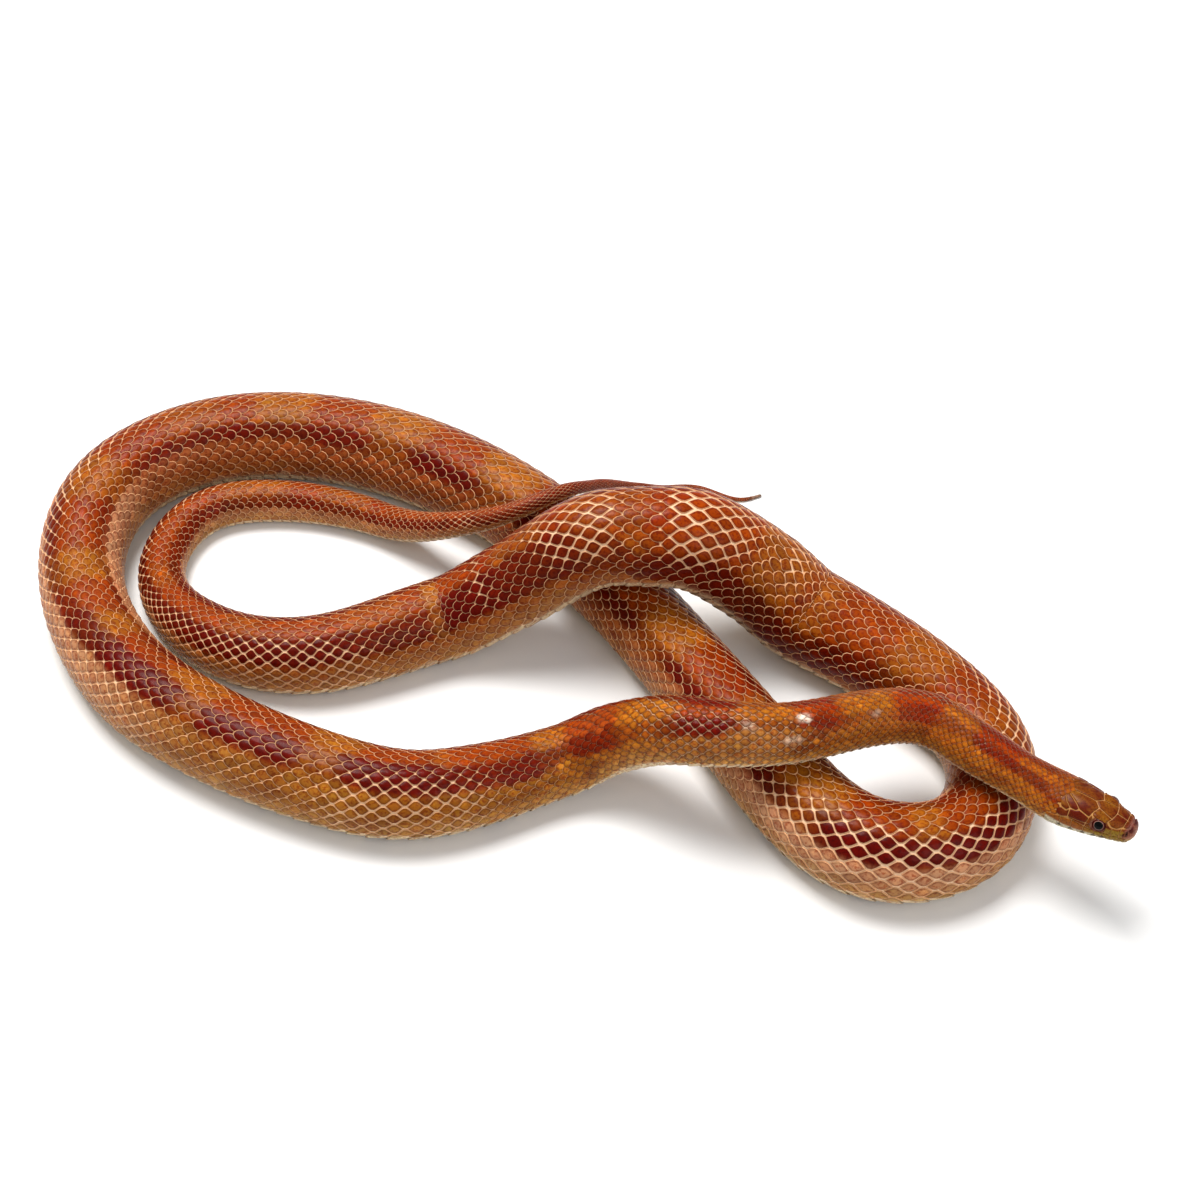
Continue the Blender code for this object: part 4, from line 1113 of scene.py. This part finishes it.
def rounded(corners):
    """Outline through the corners: points evenly spaced on its sides, each averaged with its neighbours."""
    corners = np.array(corners, float)
    closed = np.vstack([corners, corners[:1]])
    run = np.r_[0.0, np.cumsum(np.linalg.norm(np.diff(closed, axis=0), axis=1))]
    even = np.linspace(0.0, run[-1], PLATE_SIDES, endpoint=False)
    outline = np.stack([np.interp(even, run, closed[:, k]) for k in range(2)], -1)
    return (np.roll(outline, 1, axis=0) + 3 * outline + np.roll(outline, -1, axis=0)) / 5


def inset(outline, by):
    """Outline drawn in by a distance, each point square to the chord between its neighbours."""
    chord = np.roll(outline, -1, axis=0) - np.roll(outline, 1, axis=0)
    turned = np.column_stack([-chord[:, 1], chord[:, 0]]) / np.linalg.norm(chord, axis=1, keepdims=True)
    ahead = np.roll(outline, -1, axis=0)
    area = (outline[:, 0] * ahead[:, 1] - outline[:, 1] * ahead[:, 0]).sum()
    return outline + turned * by * np.sign(area)


def lay_plates(name, plates, slot, node):
    """Joined plates: each is its outline drawn in ring by ring to its middle, following the head.

    The height of a ring is the plate's own dome, falling to a sunk base under its rim.
    """
    rings = len(PLATE_RINGS) - 1
    share, height = np.repeat(PLATE_RINGS, [1] + [PLATE_SIDES] * rings, axis=0).T
    quads, triangles = dome_faces(rings, PLATE_SIDES)
    points, tints, rims, patches, all_quads, all_triangles = [], [], [], [], [], []
    for number, (outline, chart, side) in enumerate(plates):
        middle = outline.mean(axis=0)
        spokes = np.vstack([0 * middle, np.tile(outline - middle, (rings, 1))])
        at, place = (middle + spokes * share[:, None]).T
        angle = side * chart(at, place)
        out = height * np.where(height < 0, coat_depth(at) / PLATE_COAT, 1.0)
        own = body_point(at, angle, brow(at, angle) + out)
        points.append(own)
        tints.append(head_colour(at, angle))
        rims.append(share * (1 - np.maximum(spot_and_nostril_shade(at, angle), lip_dashes(at, angle))))
        patches.append(np.stack([(at + 1.5) / 25.0, (angle % 360.0) / 360.0], -1))
        facing = np.cross(own[1] - own[0], own[1 + PLATE_SIDES // 4] - own[0])
        way = 1 if np.dot(facing, own[0] - axis_point(at[0])) < 0 else -1
        all_quads.append(quads[:, ::way] + number * len(share))
        all_triangles.append(triangles[:, ::way] + number * len(share))
    item = surface_mesh(name, np.vstack(points), np.vstack(all_quads), np.vstack(all_triangles),
                        {"markings": np.vstack(tints), "rim": np.concatenate(rims)}, np.vstack(patches))
    fit(item, polished, slot, node)


def plate_finish():
    """Finish of the head plates: smooth polished horn, mottled, with a thin pale seam at the rim."""
    finish = Finish("head_plates", coat_weight=0.04, coat_roughness=0.2, specular_ior_level=0.08)
    colour = finish.read("markings")
    speck, cloud = finish.noise(2600.0, 3.0, 0.6), finish.noise(1000.0, 4.0, 0.6)
    dark = finish.mix(0.65, colour, PLATE_DARK)
    colour = finish.mix(finish.span(speck, 0.46, 0.62, 0.0, 0.8), colour, dark)
    colour = finish.mix(finish.span(cloud, 0.48, 0.7, 0.0, 0.7), colour, finish.gain(colour, PLATE_GAIN))
    seam = finish.mix(0.7, colour, PLATE_SEAM)
    finish.feed("Base Color", finish.mix(finish.span(finish.read("rim", 2), 0.97, 1.0), colour, seam))
    finish.feed("Roughness", finish.span(cloud, 0.2, 0.8, 0.26, 0.4))
    finish.bump(speck, 0.12, 0.0001)
    return finish.material


def paired(corners, chart):
    """A plate of the right side and its like on the left: outline, chart and side of each."""
    outline = inset(rounded(corners), PLATE_GAP)
    return [(outline, chart, 1), (outline, chart, -1)]


def lip_plate(front, rear, low, high_front, high_rear):
    """Corners of a lip plate between two seams, from heights over the line of the mouth or the axis."""
    mouth = [float(eased(MOUTH, at)) for at in (front, rear)]
    return [(front, mouth[0] + low), (rear, mouth[1] + low), (rear, high_rear), (front, high_front)]


def head_plates():
    """Every plate of the upper head, and every one of the lower jaw."""
    upper = [(inset(rounded(FRONTAL), PLATE_GAP), crown_angle, 1)]
    for group, chart in ((CROWN_PLATES, crown_angle), (SIDE_PLATES, side_angle)):
        for corners in group.values():
            upper += paired(corners, chart)
    for (front, high_front), (rear, high_rear) in zip(UPPER_SEAMS, UPPER_SEAMS[1:]):
        upper += paired(lip_plate(front, rear, LIP_GAP, high_front, high_rear), side_angle)
    upper.append((rounded(ROSTRAL), lambda at, angle: angle, 1))
    lower = []
    for front, rear in zip(LOWER_SEAMS, LOWER_SEAMS[1:]):
        high = [float(eased(MOUTH, at)) - LOWER_LIP_DEPTH * min(1.0, 0.4 + at / 8.0) for at in (front, rear)]
        lower += paired(lip_plate(front, rear, -LIP_GAP, *high), side_angle)
    lower.append((inset(rounded(MENTAL), MENTAL_GAP), throat_angle, 1))
    for corners in CHIN_PLATES.values():
        lower += paired(corners, throat_angle)
    return upper, lower


polished = plate_finish()
upper_plates, lower_plates = head_plates()
lay_plates("head_plates", upper_plates, "skin", "head")
lay_plates("jaw_plates", lower_plates, "jaw", "lower_jaw")


# Eyes: round and lidless, each under a clear fixed spectacle, with a dark iris, a thin pale ring
# round the pupil, and a wet shine.

# How far the pupil looks up and forward, in degrees.
GAZE_UP, GAZE_FORWARD = 28.0, 12.0
EYE_RINGS, EYE_SIDES = 28, 40
# Colours of the eye by distance from the middle of the pupil, in radii of the ball.
PUPIL = (0.002, 0.002, 0.002)
IRIS = [(0.0, PUPIL), (0.535, PUPIL), (0.565, tone(150, 116, 104)), (0.595, tone(128, 88, 78)),
        (0.64, tone(66, 10, 6)), (0.78, tone(56, 6, 4)), (0.9, tone(20, 6, 5))]


def eye_finish(centre, look):
    """Finish by the distance from the way the eye looks: black pupil, pale ring, red-brown iris."""
    finish = Finish("eye", roughness=0.12, coat_weight=0.05, coat_roughness=0.03, specular_ior_level=0.05)
    place = finish.node("TexCoord", out=3)
    away = finish.node("VectorMath", {"operation": "SUBTRACT"}, i0=place, i1=tuple(centre * MM))
    level = finish.node("VectorMath", {"operation": "DOT_PRODUCT"}, out=1, i0=away, i1=tuple(look))
    reach = finish.node("VectorMath", {"operation": "LENGTH"}, out=1, i0=away)
    radius = ((reach * reach - level * level).high(0.0) ** 0.5) / (EYE_RADIUS * MM)
    stops = [(position, (*colour, 1.0)) for position, colour in IRIS]
    finish.feed("Base Color", finish.node("ValToRGB", {"stops": stops}, Fac=radius))
    return finish.material


def make_eye(name, side):
    """Ball of the eye: radius times the unit vector at two angles."""
    one = np.array([EYE_AT])
    centre, back, right, upward = (value[0] for value in axis_frame(one))
    width, top, _, crown, _ = (value[0] for value in section(one))
    across = width * (1 - (EYE_UP / top)**crown)**(1 / crown) + EYE_STANDS_OUT - EYE_RADIUS
    look = right * side
    middle = centre + look * across + upward * EYE_UP
    polar = np.linspace(0, math.pi, EYE_RINGS + 2)[1:-1, None]
    turn = np.arange(EYE_SIDES) * 2 * math.pi / EYE_SIDES
    shares = np.broadcast_arrays(np.cos(polar), np.sin(polar) * np.cos(turn), np.sin(polar) * np.sin(turn))
    unit = np.stack(shares, -1).reshape(-1, 3) @ np.array([look, upward, np.cross(look, upward)])
    points = middle + EYE_RADIUS * np.vstack([unit, look, -look])
    item = surface_mesh(name, points, *tube_faces(EYE_RINGS, EYE_SIDES))
    up_turn, fore_turn = math.tan(math.radians(GAZE_UP)), math.tan(math.radians(GAZE_FORWARD))
    gaze = look + upward * up_turn - back * fore_turn
    fit(item, eye_finish(middle, gaze / np.linalg.norm(gaze)), "eye", name)


make_eye("eye_right", 1)
make_eye("eye_left", -1)
